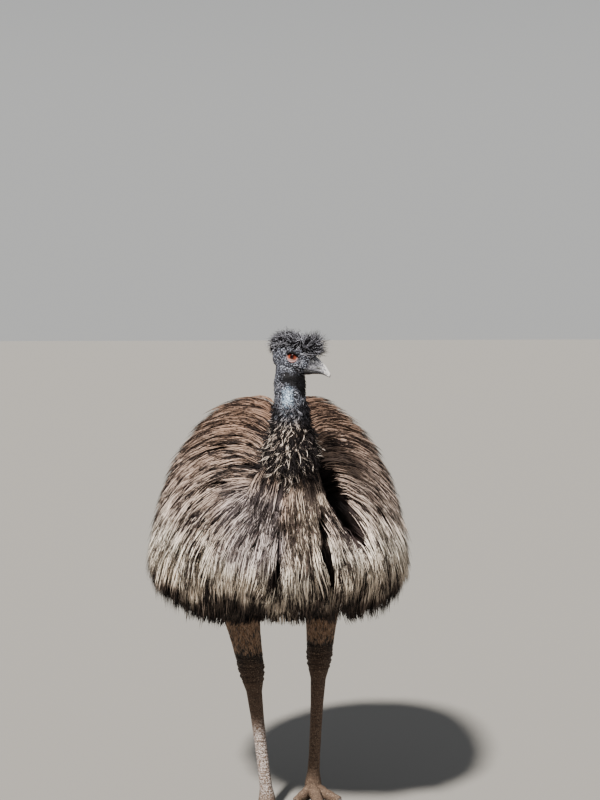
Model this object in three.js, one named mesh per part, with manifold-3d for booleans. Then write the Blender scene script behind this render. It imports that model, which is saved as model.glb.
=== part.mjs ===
// A life-size emu standing still, its weight on both feet, the right one a step ahead, and its head turned
// to its left. Millimetres, +Z up. The bird faces -Y and its left side is +X.
import * as THREE from "three";
import { mergeVertices } from "three/addons/utils/BufferGeometryUtils.js";
import Module from "manifold-3d";

const wasm = await Module();
wasm.setup();

// Driving dimensions of the plumage, an upright dome with a long back.
const BACK_Z = 1214; // highest point of the back
const HEM_Z = 535; // lowest feather tips
const CENTRE_Y = 60; // where the back is highest
const HALF_WIDTH = 365;
const WIDEST_Z = 680;
const CHEST_REACH = 490; // from the centre to the front of the breast
const CHEST_Z = 840;
const TAIL_REACH = 480; // from the centre to the rearmost tail feathers
const TAIL_Z = 690;
const ROUNDNESS = 2.15; // exponent of a level slice through the body
const CORE_DEPTH = 50; // from the feather tips to the inner body, half of the coat
const FEATHER_LENGTH = 215;
const FEATHER_HALF_WIDTH = 43;
const FEATHER_THICKNESS = 7;
const FEATHER_COUNT = 184; // over a whole ball, the belly's left out
const BELLY_TUFT_COUNT = 16;
const BELLY_Z = 600; // level underside that the legs come out of
const GAP = 0.3; // between parts that meet
const CREST_COUNT = 21;
const RUFF_COUNT = 27;

// Driving dimensions of the legs and feet.
const HOCK_Z = 405;
const ANKLE_Z = 48;
const LEGS = {
  right: { side: -1, foot: [-33, 60], hock: [-74, 130], top: [-114, 53] },
  left: { side: 1, foot: [112, 190], hock: [137, 258], top: [140, 179] },
};
const TOES = [
  { name: "inner", length: 104, turn: -34, width: 15 },
  { name: "middle", length: 146, turn: 2, width: 18 },
  { name: "outer", length: 112, turn: 36, width: 15 },
];
const CLAW_LENGTH = 27;
const SCUTE_RISE = 1.6; // of the plates down the front of each shank and toe
const SHANK_SCUTES = 10;
const TOE_SCUTES = 4;

// Driving dimensions of the head, in its own frame: x forward from between the eyes, y left, z up.
const EYES_AT = [9, -456, 1320];
const HEAD_TURN = 58; // degrees to the bird's left
const HEAD_DIP = 11;
const BILL_BASE = 40;
const BILL_TIP = 96;
const MOUTH_Z = -21.5;
const MOUTH_GAP = 1;
const EYE_RADIUS = 14.5;
const EYE_Y = 19.5;
const EYE_Z = 2;

const FEATHER = new THREE.MeshStandardMaterial({ color: 0x5a4a3d, roughness: 0.9, metalness: 0 });
const BREAST = new THREE.MeshStandardMaterial({ color: 0x9a8f84, roughness: 0.9, metalness: 0 });
const HAIR = new THREE.MeshStandardMaterial({ color: 0x1f1e20, roughness: 0.85, metalness: 0 });
const NECK_SKIN = new THREE.MeshStandardMaterial({ color: 0x6d8298, roughness: 0.6, metalness: 0 });
const LEG_SKIN = new THREE.MeshStandardMaterial({ color: 0x5b4a3c, roughness: 0.7, metalness: 0 });
const BILL = new THREE.MeshStandardMaterial({ color: 0x3c3d40, roughness: 0.45, metalness: 0 });
const CLAW = new THREE.MeshStandardMaterial({ color: 0x1b1a19, roughness: 0.4, metalness: 0 });
const EYE = new THREE.MeshStandardMaterial({ color: 0x9a3d1c, roughness: 0.1, metalness: 0 });

const point = (x, y, z) => new THREE.Vector3(x, y, z);
const lerp = THREE.MathUtils.lerp;
const smooth = (points) => new THREE.CatmullRomCurve3(points, false, "centripetal");
const GOLDEN_ANGLE = Math.PI * (3 - Math.sqrt(5)); // spreads places evenly over a disc or a ball

// A solid from a closed geometry, turned so that its faces point out.
function solidOf(geometry) {
  const bare = new THREE.BufferGeometry().setAttribute("position", geometry.getAttribute("position"));
  bare.setIndex(geometry.index);
  const merged = mergeVertices(bare, 1e-3);
  const corners = new Uint32Array(merged.index.array);
  const at = merged.getAttribute("position");
  const [a, b, c] = [point(), point(), point()];
  let volume = 0;
  for (let i = 0; i < corners.length; i += 3) {
    a.fromBufferAttribute(at, corners[i]);
    b.fromBufferAttribute(at, corners[i + 1]);
    c.fromBufferAttribute(at, corners[i + 2]);
    volume += a.dot(b.cross(c));
  }
  if (volume < 0) corners.reverse();
  return new wasm.Manifold(new wasm.Mesh({ numProp: 3, vertProperties: at.array, triVerts: corners }));
}

function geometryOf(solid) {
  const made = solid.getMesh();
  const places = new Float32Array(made.numVert * 3);
  for (let i = 0; i < made.numVert; i++) {
    places.set(made.vertProperties.subarray(i * made.numProp, i * made.numProp + 3), i * 3);
  }
  const geometry = new THREE.BufferGeometry();
  geometry.setAttribute("position", new THREE.BufferAttribute(places, 3));
  geometry.setIndex(new THREE.BufferAttribute(made.triVerts, 1));
  geometry.computeVertexNormals();
  return geometry;
}

// The largest closed body of a solid.
function largest(solid) {
  return solid.decompose().reduce((best, one) => (one.volume() > best.volume() ? one : best));
}

// A named mesh of a solid, brought to 32-bit places first, which can part a scrap from it.
function part(name, solid, material) {
  const settled = largest(solidOf(geometryOf(largest(solid))));
  const made = new THREE.Mesh(geometryOf(settled), material);
  made.name = name;
  return made;
}

// A closed body through rings of points, each end closed by a fan or drawn to a point.
function throughRings(rings) {
  const sides = rings[0].length;
  const points = rings.flat();
  const corners = [];
  for (let i = 0; i < rings.length - 1; i++) {
    for (let j = 0; j < sides; j++) {
      const a = i * sides + j;
      const b = i * sides + ((j + 1) % sides);
      corners.push(a, b, b + sides, a, b + sides, a + sides);
    }
  }
  const closeEnd = (first, turned) => {
    const middle = point(0, 0, 0);
    for (let j = 0; j < sides; j++) middle.addScaledVector(points[first + j], 1 / sides);
    points.push(middle);
    for (let j = 0; j < sides; j++) {
      const next = first + ((j + 1) % sides);
      corners.push(points.length - 1, ...(turned ? [next, first + j] : [first + j, next]));
    }
  };
  closeEnd(0, true);
  closeEnd((rings.length - 1) * sides, false);
  const geometry = new THREE.BufferGeometry().setFromPoints(points);
  geometry.setIndex(corners);
  return geometry;
}

// The place, size and ways at a share of a smooth course. Each stop is [x, y, z, half width, half depth],
// with the width along +X.
function course(stops) {
  const path = smooth(stops.map(([x, y, z]) => point(x, y, z)));
  const sizes = smooth(stops.map(([, , , wide, deep]) => point(wide, deep, 0)));
  return (t) => {
    const along = path.getTangent(t);
    const front = point(1, 0, 0).cross(along).normalize();
    const across = along.clone().cross(front).normalize();
    const { x: wide, y: deep } = sizes.getPoint(t);
    return { centre: path.getPoint(t), along, front, across, wide, deep };
  };
}

// A limb along a smooth course, through rings that each stand at a share of it and rise a little in front.
function limb(stops, { rings, sides, grow = 0 }) {
  const at = course(stops);
  const raised = 0.3; // how far round to the front the rise begins, as a sine
  return throughRings(
    rings.map(({ t, rise }, i) => {
      const { centre, along, front, across, wide, deep } = at(t);
      centre.addScaledVector(along, i === 0 ? -grow : i === rings.length - 1 ? grow : 0);
      return Array.from({ length: sides }, (_, j) => {
        const angle = ((j + 0.5) / sides) * 2 * Math.PI;
        const extra = grow + (Math.sin(angle) > raised ? rise : 0);
        return centre
          .clone()
          .addScaledVector(across, Math.cos(angle) * (wide + extra))
          .addScaledVector(front, Math.sin(angle) * (deep + extra));
      });
    }),
  );
}

const evenRings = (count) => Array.from({ length: count }, (_, i) => ({ t: i / (count - 1), rise: 0 }));

// Rings for a limb whose front is covered by scutes, plates that lap over each other towards its start.
function scuteRings(from, to, count) {
  const step = (to - from) / count;
  const edge = 0.05; // of a plate's length, for its raised edge
  const plates = Array.from({ length: count }, (_, i) => [
    { t: from + i * step, rise: SCUTE_RISE },
    { t: from + (i + 1 - edge) * step, rise: SCUTE_RISE * 0.2 },
  ]);
  const bare = (t) => ({ t, rise: 0 });
  return [bare(0), bare(from - edge * step), ...plates.flat(), bare(to), bare((to + 1) / 2), bare(1)];
}

// Draws from 0 to 1, the same at each run.
function seeded(seed) {
  let state = seed;
  return () => {
    state = (state + 0x6d2b79f5) | 0;
    let mixed = Math.imul(state ^ (state >>> 15), 1 | state);
    mixed ^= mixed + Math.imul(mixed ^ (mixed >>> 7), 61 | mixed);
    return ((mixed ^ (mixed >>> 14)) >>> 0) / 2 ** 32;
  };
}

// A flat, tapered vane with a ridge along its back. Each stop has its place, its side and its outward way.
function vane(stops, halfWidth, thickness) {
  const rings = stops.map(({ place, side, out }, i) => {
    const t = i / (stops.length - 1);
    const wide = halfWidth * Math.max(0.02, (0.55 + 1.6 * t) * (1 - t ** 2.2));
    const thick = thickness * (1 - 0.85 * t);
    return [
      place.clone().addScaledVector(side, -wide).addScaledVector(out, -thick * 0.3),
      place.clone().addScaledVector(side, wide).addScaledVector(out, -thick * 0.3),
      place.clone().addScaledVector(out, thick * 0.7),
    ];
  });
  return solidOf(throughRings(rings));
}

// A vane that leaves a root one way and bends smoothly to another.
function bentVane(root, first, last, length, halfWidth, thickness, steps = 3) {
  const bend = new THREE.QuadraticBezierCurve3(
    root,
    root.clone().addScaledVector(first, length / 2),
    root.clone().addScaledVector(first, length / 2).addScaledVector(last, length / 2),
  );
  const stops = Array.from({ length: steps + 1 }, (_, i) => {
    const along = bend.getTangent(i / steps);
    const side = along.clone().cross(first).add(along.clone().cross(last));
    if (side.length() < 0.05) side.set(along.y, -along.x, 0);
    side.normalize();
    return { place: bend.getPoint(i / steps), side, out: side.clone().cross(along).normalize() };
  });
  return vane(stops, halfWidth, thickness);
}

// Joins solids two by two.
function joined(solids) {
  let rest = solids;
  while (rest.length > 1) {
    const next = [];
    for (let i = 0; i < rest.length; i += 2) {
      next.push(i + 1 < rest.length ? rest[i].add(rest[i + 1]) : rest[i]);
    }
    rest = next;
  }
  return rest[0];
}

// Everything on the near side of a plane, given by a point on it and the normal that points away.
function halfSpace(at, normal, back = GAP / 2) {
  const size = 6000;
  const box = new THREE.BoxGeometry(size, size, size).translate(0, 0, -size / 2 - back);
  const turn = new THREE.Quaternion().setFromUnitVectors(point(0, 0, 1), normal.clone().normalize());
  return solidOf(box.applyQuaternion(turn).translate(at.x, at.y, at.z));
}

// How wide the plumage is at a height, as a share of its widest, for an outline that is widest at a level.
function swell(z, level, [upPower, upRoot], [downPower, downRoot]) {
  const up = z > level;
  const share = up ? (z - level) / (BACK_Z - level) : (level - z) / (level - HEM_Z);
  if (share >= 1) return 0;
  return (1 - share ** (up ? upPower : downPower)) ** (up ? upRoot : downRoot);
}

function insidePlumage({ x, y, z }) {
  const wide = HALF_WIDTH * swell(z, WIDEST_Z, [2, 0.48], [2.2, 0.4]);
  const ahead = y < CENTRE_Y;
  const long = ahead
    ? CHEST_REACH * swell(z, CHEST_Z, [2, 0.5], [2, 0.72])
    : TAIL_REACH * swell(z, TAIL_Z, [2, 0.5], [2.5, 0.45]);
  if (wide <= 0 || long <= 0) return false;
  return (Math.abs(x) / wide) ** ROUNDNESS + (Math.abs(y - CENTRE_Y) / long) ** ROUNDNESS < 1;
}

const MIDDLE = point(0, CENTRE_Y, 800);

// How far the feather tips lie from the middle of the body in a direction.
function reach(direction) {
  let low = 0;
  let high = 900;
  for (let i = 0; i < 22; i++) {
    const half = (low + high) / 2;
    if (insidePlumage(MIDDLE.clone().addScaledVector(direction, half))) low = half;
    else high = half;
  }
  return low;
}

// The plumage's form at a depth under the feather tips.
function plumageForm(depth, across = 30, down = 20) {
  const ball = new THREE.SphereGeometry(1, across, down).rotateX(Math.PI / 2);
  const at = ball.getAttribute("position");
  const direction = point();
  for (let i = 0; i < at.count; i++) {
    direction.fromBufferAttribute(at, i).normalize();
    const place = MIDDLE.clone().addScaledVector(direction, reach(direction) - depth);
    at.setXYZ(i, place.x, place.y, place.z);
  }
  return solidOf(ball);
}

// The neck, from inside the breast to inside the head.
const NECK = [
  [0, -296, 955, 92, 96],
  [0, -368, 1035, 84, 88],
  [-2, -420, 1110, 70, 72],
  [-6, -446, 1180, 46, 50],
  [-10, -450, 1232, 38, 41],
  [-13, -447, 1272, 35, 37],
  [-19, -441, 1304, 25, 27],
];
const NECK_PARTING = point(-6, -446, 1178);
const neckForm = (grow) => solidOf(limb(NECK, { rings: evenRings(14), sides: 14, grow }));

// The head's outline in its own frame: [forward, top, bottom, half width].
const HEAD = [
  [-63, 2, -6, 4],
  [-56, 18, -26, 20],
  [-38, 30, -38, 30],
  [-16, 35, -42, 33],
  [6, 34, -41, 31],
  [26, 27, -38, 27],
  [44, 16, -34, 21.5],
  [60, 9, -31.5, 17],
  [76, 2, -30, 12.5],
  [88, -7, -29.5, 8.5],
  [BILL_TIP, -20, -28, 3.5],
];
const HEAD_SIDES = 14;
const HEAD_RINGS = 17;
const headFrame = new THREE.Matrix4();
{
  const forward = point(0, -1, 0)
    .applyAxisAngle(point(1, 0, 0), THREE.MathUtils.degToRad(HEAD_DIP))
    .applyAxisAngle(point(0, 0, 1), THREE.MathUtils.degToRad(HEAD_TURN));
  const left = point(0, 0, 1).cross(forward).normalize();
  const up = forward.clone().cross(left);
  headFrame.makeBasis(forward, left, up).setPosition(...EYES_AT);
}

function headForm(grow = 0) {
  const outline = smooth(HEAD.map(([x, top, bottom]) => point(x, top, bottom)));
  const widths = smooth(HEAD.map(([x, , , wide]) => point(x, wide, 0)));
  return throughRings(
    evenRings(HEAD_RINGS).map(({ t }, i) => {
      const { x, y: top, z: bottom } = outline.getPoint(t);
      const wide = widths.getPoint(t).y + grow;
      const tall = (top - bottom) / 2 + grow;
      const ends = i === 0 ? -grow : i === HEAD_RINGS - 1 ? grow : 0;
      return Array.from({ length: HEAD_SIDES }, (_, j) => {
        const angle = ((j + 0.5) / HEAD_SIDES) * 2 * Math.PI;
        return point(x + ends, Math.cos(angle) * wide, (top + bottom) / 2 + Math.sin(angle) * tall);
      });
    }),
  );
}

// Locks of hair-like feathers that stand up from the crown in untidy tufts.
function crest() {
  const draw = seeded(5);
  return Array.from({ length: CREST_COUNT }, (_, i) => {
    const share = Math.sqrt((i + 0.5) / CREST_COUNT);
    const back = -8 + 40 * share * Math.cos(i * GOLDEN_ANGLE);
    const aside = 27 * share * Math.sin(i * GOLDEN_ANGLE);
    const rise = 34 * Math.sqrt(Math.max(0.05, 1 - (aside / 34) ** 2 - ((back + 14) / 62) ** 2));
    const root = point(back, aside, rise - 5);
    const out = point((back + 14) / 62, aside / 40, rise / 40).normalize();
    const stray = point(draw() - 0.5, draw() - 0.5, 0.2).multiplyScalar(0.9);
    const last = out.clone().add(point(back > -8 ? 0.5 : -0.8, aside / 30, -0.25)).add(stray).normalize();
    return bentVane(root, out, last, 27 + 17 * draw(), 8, 3.5, 2);
  });
}

function headParts() {
  const whole = solidOf(headForm());
  const billPlane = [point(BILL_BASE, 0, 0), point(1, 0, 0.25)];
  const reversed = (plane) => [plane[0], plane[1].clone().negate()];
  const bill = whole.intersect(halfSpace(...reversed(billPlane)));
  const mouth = [point(BILL_BASE, 0, MOUTH_Z), point(0.07, 0, 1)];
  const nostril = (side) => {
    const slot = new THREE.SphereGeometry(1, 7, 5).scale(7, 5, 2.4).rotateZ(side * -0.3);
    return solidOf(slot.translate(68, side * 13.5, -7));
  };
  const upper = bill
    .intersect(halfSpace(...reversed(mouth), MOUTH_GAP / 2))
    .subtract(nostril(1))
    .subtract(nostril(-1));
  const lower = bill.intersect(halfSpace(...mouth, MOUTH_GAP / 2));
  let skull = whole.intersect(halfSpace(...billPlane));
  for (const side of [1, -1]) {
    const lid = new THREE.TorusGeometry(EYE_RADIUS - 0.6, 2.6, 5, 12).rotateX(Math.PI / 2);
    lid.scale(1.08, 1, 0.92).translate(0, side * 30.2, EYE_Z);
    const socket = new THREE.SphereGeometry(EYE_RADIUS + GAP, 14, 9).translate(0, side * EYE_Y, EYE_Z);
    const ear = new THREE.SphereGeometry(6.5, 8, 6).scale(1, 1, 1.3).translate(-34, side * 33, -9);
    const slit = new THREE.BoxGeometry(46, 14, MOUTH_GAP + 0.4);
    slit.translate(BILL_BASE - 21, side * 31, MOUTH_Z + 0.7);
    skull = skull
      .add(solidOf(lid))
      .subtract(solidOf(socket))
      .subtract(solidOf(ear))
      .subtract(solidOf(slit));
  }
  skull = joined([skull, ...crest()]);
  const group = new THREE.Group();
  group.applyMatrix4(headFrame);
  group.add(part("head", skull, HAIR), part("bill_upper", upper, BILL), part("bill_lower", lower, BILL));
  for (const [name, side] of [["eye_left", 1], ["eye_right", -1]]) {
    const eye = new THREE.Mesh(new THREE.SphereGeometry(EYE_RADIUS, 14, 9), EYE);
    eye.name = name;
    eye.position.set(0, side * EYE_Y, EYE_Z);
    group.add(eye);
  }
  return group;
}

// Long hair-like feathers round the foot of the neck, each clear of the plumage under it.
function ruff() {
  const draw = seeded(23);
  const at = course(NECK);
  const sunk = 7;
  const vanes = Array.from({ length: RUFF_COUNT }, (_, i) => {
    const { centre, along, front, across, wide, deep } = at(lerp(0.2, 0.56, (i + 0.5) / RUFF_COUNT));
    const angle = i * GOLDEN_ANGLE;
    const out = across.clone().multiplyScalar(Math.cos(angle)).addScaledVector(front, Math.sin(angle));
    const root = centre.clone().addScaledVector(across, Math.cos(angle) * (wide - sunk));
    root.addScaledVector(front, Math.sin(angle) * (deep - sunk));
    const down = along.clone().negate().add(point(0, 0, -0.4)).normalize();
    const first = out.clone().multiplyScalar(0.55).add(down).normalize();
    const last = out.clone().multiplyScalar(0.12 + 0.3 * draw()).add(down).normalize();
    return bentVane(root, first, last, 84 + 34 * draw(), 15, 5);
  });
  return joined(vanes).subtract(plumageForm(-9));
}

function neckParts() {
  const headRoom = solidOf(headForm(GAP).applyMatrix4(headFrame));
  const whole = neckForm(0).subtract(headRoom);
  const up = point(0, -0.08, 1);
  return [
    part("neck_upper", whole.intersect(halfSpace(NECK_PARTING, up.clone().negate())), NECK_SKIN),
    part("neck_lower", whole.add(ruff()).intersect(halfSpace(NECK_PARTING, up)), HAIR),
  ];
}

// The planes that part the plumage: the breast from the flanks, the flanks from the tail.
const BREAST_PLANE = { at: point(0, -235, 800), normal: point(0, -1, -0.08) };
const TAIL_PLANE = { at: point(0, 395, 850), normal: point(0, 1, 0.27) };
const NECK_ROOT = point(0, -370, 1010);

// The outward way of the plumage's form in a direction.
function outward(direction) {
  const turn = 0.03;
  const aside = point(-direction.y, direction.x, 0).normalize();
  const over = aside.clone().cross(direction);
  const place = (way) => way.normalize().multiplyScalar(reach(way));
  const across = place(direction.clone().addScaledVector(aside, turn));
  across.sub(place(direction.clone().addScaledVector(aside, -turn)));
  const along = place(direction.clone().addScaledVector(over, turn));
  along.sub(place(direction.clone().addScaledVector(over, -turn)));
  const out = across.cross(along).normalize();
  return out.dot(direction) < 0 ? out.negate() : out;
}

// The way the feathers lie: away from the neck, off the back to each side, and down.
function lie(place, out) {
  const away = place.clone().sub(NECK_ROOT);
  const drop = THREE.MathUtils.smoothstep(away.length(), 100, 480);
  const top = THREE.MathUtils.smoothstep(place.z, 980, 1170);
  const way = away.normalize();
  way.z -= 0.35 + 1.1 * drop;
  way.x += Math.sign(place.x) * 0.55 * top;
  return way.projectOnPlane(out).normalize();
}

// The stops of one feather from its root in a direction, down to the hem at most.
function featherStops(root, length, tipDepth, hem, steps = 3) {
  const walk = (whole) => {
    const stops = [];
    const direction = root.clone();
    for (let i = 0; i <= steps; i++) {
      const depth = lerp(CORE_DEPTH + 16, tipDepth, (i / steps) ** 0.75);
      const out = outward(direction.clone());
      const place = MIDDLE.clone().addScaledVector(direction, reach(direction) - depth);
      const way = lie(place, out);
      stops.push({ place: place.clone(), side: out.clone().cross(way), out });
      direction.copy(place.addScaledVector(way, whole / steps).sub(MIDDLE).normalize());
    }
    return stops;
  };
  let whole = length;
  let stops = walk(whole);
  while (stops.at(-1).place.z < hem && whole > length * 0.35) {
    whole *= 0.92;
    stops = walk(whole);
  }
  return stops;
}

// Tufts that hang from the belly, in two rings inside the hem.
function bellyTufts() {
  const draw = seeded(41);
  return Array.from({ length: BELLY_TUFT_COUNT }, (_, i) => {
    const angle = ((i + 0.25) / BELLY_TUFT_COUNT) * 2 * Math.PI;
    const share = i % 2 ? 0.62 : 0.36;
    const [aside, behind] = [Math.cos(angle) * HALF_WIDTH, Math.sin(angle) * TAIL_REACH];
    const root = point(aside * share, CENTRE_Y + behind * share, BELLY_Z + 8);
    const down = point(0.15 * (draw() - 0.5), 0.25 * draw(), -1).normalize();
    const last = point(0.1 * (draw() - 0.5), 0.5, -0.8).normalize();
    return { root, tuft: bentVane(root, down, last, 52 + 14 * draw(), 24, 9, 2) };
  });
}

function plumageParts() {
  const draw = seeded(11);
  const room = joined([neckForm(GAP), ...Object.values(LEGS).map((leg) => legForm(leg, GAP))]);
  const core = plumageForm(CORE_DEPTH, 24, 16).intersect(halfSpace(point(0, 0, BELLY_Z), point(0, 0, -1), 0));
  const ahead = (place) => place.clone().sub(BREAST_PLANE.at).dot(BREAST_PLANE.normal) > 0;
  const behind = (place) => place.clone().sub(TAIL_PLANE.at).dot(TAIL_PLANE.normal) > 0;
  const nodeOf = (root) => {
    if (ahead(root)) return "breast";
    if (behind(root)) return "tail";
    return root.x > 0 ? "torso_left" : "torso_right";
  };
  const feathers = { breast: [], tail: [], torso_left: [], torso_right: [] };
  for (let i = 0; i < FEATHER_COUNT; i++) {
    const height = 1 - (2 * (i + 0.5)) / FEATHER_COUNT;
    const ring = Math.sqrt(1 - height ** 2);
    const direction = point(Math.cos(i * GOLDEN_ANGLE) * ring, Math.sin(i * GOLDEN_ANGLE) * ring, height);
    direction.add(point(draw() - 0.5, draw() - 0.5, draw() - 0.5).multiplyScalar(0.05)).normalize();
    const root = MIDDLE.clone().addScaledVector(direction, reach(direction) - CORE_DEPTH);
    const fromNeck = root.distanceTo(NECK_ROOT);
    const [longer, wider, deeper, lower] = [draw(), draw(), draw(), draw()];
    if (root.z < BELLY_Z + 14 || fromNeck < 95 || Math.abs(root.x) < 4) continue;
    const grown = THREE.MathUtils.smoothstep(fromNeck, 80, 260);
    const length = FEATHER_LENGTH * lerp(0.5, 1, grown) * (0.85 + 0.3 * longer);
    const stops = featherStops(direction, length, 10 * deeper + 22 * (1 - grown), HEM_Z + 45 * lower);
    feathers[nodeOf(root)].push(vane(stops, FEATHER_HALF_WIDTH * (0.85 + 0.3 * wider), FEATHER_THICKNESS));
  }
  for (const { root, tuft } of bellyTufts()) feathers[nodeOf(root)].push(tuft);
  const [front, rear] = [BREAST_PLANE, TAIL_PLANE];
  const between = [halfSpace(front.at, front.normal), halfSpace(rear.at, rear.normal)];
  const regions = {
    breast: [halfSpace(front.at, front.normal.clone().negate())],
    tail: [halfSpace(rear.at, rear.normal.clone().negate())],
    torso_left: [...between, halfSpace(point(0, 0, 0), point(-1, 0, 0))],
    torso_right: [...between, halfSpace(point(0, 0, 0), point(1, 0, 0))],
  };
  return Object.entries(regions).map(([name, spaces]) => {
    const whole = joined([core, ...feathers[name]]);
    const kept = spaces.reduce((solid, space) => solid.intersect(space), whole);
    return part(name, kept.subtract(room), name === "breast" ? BREAST : FEATHER);
  });
}

// One toe, pointing forwards along -Y and flat on the floor, from its tip to the ankle.
function toeStops({ length, width }) {
  return [
    [0, -length, 11, width * 0.62, 12],
    [0, -length * 0.72, 13, width * 0.84, 14.5],
    [0, -length * 0.42, 16, width * 0.94, 17.5],
    [0, -12, 25, width, 25.5],
    [0, 14, 30, width * 0.9, 26],
  ];
}

const shankAt = ({ foot, hock }, t) => [
  lerp(foot[0], hock[0], t),
  lerp(foot[1], hock[1], t),
  lerp(ANKLE_Z, HOCK_Z, t),
];

const shankStops = (place) => [
  [...shankAt(place, 0), 25, 25],
  [...shankAt(place, 0.2), 18.6, 20.5],
  [...shankAt(place, 0.4), 18.4, 20],
  [...shankAt(place, 0.6), 18.8, 21],
  [...shankAt(place, 0.8), 21, 24.5],
  [...shankAt(place, 1), 33, 35],
];

// The feathered shank above the hock and the scaly one below it, from the belly to the ankle.
function legForm(place, grow = 0) {
  const { hock, top } = place;
  const thigh = (t) => [lerp(hock[0], top[0], t), lerp(hock[1], top[1], t), lerp(HOCK_Z, BELLY_Z + 15, t)];
  const thighStops = [
    [...thigh(-0.18), 27, 30],
    [...thigh(0), 35, 37],
    [...thigh(0.2), 33, 36],
    [...thigh(0.55), 40, 46],
    [...thigh(1), 54, 64],
  ];
  return solidOf(limb(thighStops, { rings: evenRings(9), sides: 12, grow })).add(
    solidOf(limb(shankStops(place), { rings: scuteRings(0.1, 0.86, SHANK_SCUTES), sides: 12, grow })),
  );
}

function legParts(name, place) {
  const { side, foot } = place;
  const hockPlane = [point(...shankAt(place, 0.9)), point(0, 0.1, 1)];
  const anklePlane = [point(...shankAt(place, 0.04)), point(0, 0.1, 1)];
  const whole = legForm(place);
  const away = (plane) => [plane[0], plane[1].clone().negate()];
  const leg = whole.intersect(halfSpace(...away(hockPlane)));
  const tarsus = whole.intersect(halfSpace(...hockPlane)).intersect(halfSpace(...away(anklePlane)));
  const ankle = new THREE.SphereGeometry(1, 10, 8).scale(27, 27, 42).translate(foot[0], foot[1], 36);
  let footForm = solidOf(ankle);
  const claws = [];
  for (const toe of TOES) {
    const turn = new THREE.Matrix4()
      .makeRotationZ(THREE.MathUtils.degToRad(side * toe.turn))
      .setPosition(foot[0], foot[1], 0);
    const rings = scuteRings(0.06, 0.66, TOE_SCUTES);
    const form = solidOf(limb(toeStops(toe), { rings, sides: 8 }).applyMatrix4(turn));
    const clawPlane = [point(0, -toe.length + 6, 0), point(0, -1, 0.1)].map((p, i) =>
      i === 0 ? p.applyMatrix4(turn) : p.transformDirection(turn),
    );
    footForm = footForm.add(form.intersect(halfSpace(...clawPlane)));
    const clawStops = [
      [0, -toe.length + 10, 11, toe.width * 0.5, 9.5],
      [0, -toe.length - 6, 10.5, toe.width * 0.42, 7.5],
      [0, -toe.length - CLAW_LENGTH * 0.6, 8.5, toe.width * 0.28, 4.5],
      [0, -toe.length - CLAW_LENGTH, 5, 1, 1],
    ];
    const claw = solidOf(limb(clawStops, { rings: evenRings(5), sides: 6 }).applyMatrix4(turn));
    claws.push(part(`claw_${name}_${toe.name}`, claw.intersect(halfSpace(...away(clawPlane))), CLAW));
  }
  footForm = footForm
    .intersect(halfSpace(point(0, 0, 0), point(0, 0, -1), 0))
    .intersect(halfSpace(...anklePlane));
  return [
    part(`leg_${name}`, leg, LEG_SKIN),
    part(`tarsus_${name}`, tarsus, LEG_SKIN),
    part(`foot_${name}`, footForm, LEG_SKIN),
    ...claws,
  ];
}

const emu = new THREE.Group();
emu.add(headParts(), ...neckParts(), ...plumageParts());
for (const [name, leg] of Object.entries(LEGS)) emu.add(...legParts(name, leg));

// The part's origin is on the floor, under the middle of the box round the bird.
emu.updateMatrixWorld(true);
const box = new THREE.Box3().setFromObject(emu, true);
emu.position.set(-(box.min.x + box.max.x) / 2, -(box.min.y + box.max.y) / 2, -box.min.z);

export default emu;
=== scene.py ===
# %% [markdown]
# # A life-size emu
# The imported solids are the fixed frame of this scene. Everything here is in metres in their frame: +Z up,
# the bird faces -Y and its left side is +X. One skin takes the place of the fleshy solids, thousands of loose
# feathers grow from it, and the bill, eyes and claws are pieces of their own.

# %% Open the frame
import math

import bmesh
import bpy
import numpy as np
from mathutils import Matrix, Vector


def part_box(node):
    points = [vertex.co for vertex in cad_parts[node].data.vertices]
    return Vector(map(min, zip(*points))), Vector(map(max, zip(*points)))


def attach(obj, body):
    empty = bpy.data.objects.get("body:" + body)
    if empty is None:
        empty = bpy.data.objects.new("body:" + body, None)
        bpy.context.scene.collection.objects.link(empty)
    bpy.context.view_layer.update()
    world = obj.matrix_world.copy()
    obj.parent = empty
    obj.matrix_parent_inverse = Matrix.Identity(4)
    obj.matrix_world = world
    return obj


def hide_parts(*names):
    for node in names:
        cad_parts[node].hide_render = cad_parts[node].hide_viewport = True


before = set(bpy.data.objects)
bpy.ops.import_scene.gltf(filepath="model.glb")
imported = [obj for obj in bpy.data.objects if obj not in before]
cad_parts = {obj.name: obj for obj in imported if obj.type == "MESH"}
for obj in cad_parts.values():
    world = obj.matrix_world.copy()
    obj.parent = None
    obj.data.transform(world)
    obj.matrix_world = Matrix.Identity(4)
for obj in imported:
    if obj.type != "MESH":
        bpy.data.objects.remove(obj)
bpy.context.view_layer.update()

# %% [markdown]
# ## Sizes shared with the solids
# The plumage is an upright dome with a long back. Its widths and reaches are the same named sizes as in the
# solids, so the coat ends where they end. All of them are measured from a point on the floor under the bird,
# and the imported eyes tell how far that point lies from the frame's own origin.

# %% Named sizes
BACK = 1.214
HEM = 0.535
CENTRE = np.array([0.0, 0.06, 0.8])
HALF_WIDTH = 0.365
WIDEST = 0.68
CHEST_REACH = 0.49
CHEST = 0.84
TAIL_REACH = 0.48
TAIL = 0.69
ROUNDNESS = 2.15
SKIN_DEPTH = 0.068
NECK_ROOT = np.array([0.0, -0.37, 1.01])
HOCK = 0.405
ANKLE = 0.048
LEGS = {
    "right": {"side": -1, "foot": (-0.033, 0.060), "hock": (-0.074, 0.130), "top": (-0.114, 0.053)},
    "left": {"side": 1, "foot": (0.112, 0.190), "hock": (0.137, 0.258), "top": (0.140, 0.179)},
}
LEG_TOP = 0.64
TOES = {
    "inner": {"length": 0.104, "turn": -34, "width": 0.0150},
    "middle": {"length": 0.146, "turn": 2, "width": 0.0180},
    "outer": {"length": 0.112, "turn": 36, "width": 0.0150},
}
CLAW_LENGTH = 0.027
EYE_RADIUS = 0.0145
EYE_SIDE = 0.0195
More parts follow.
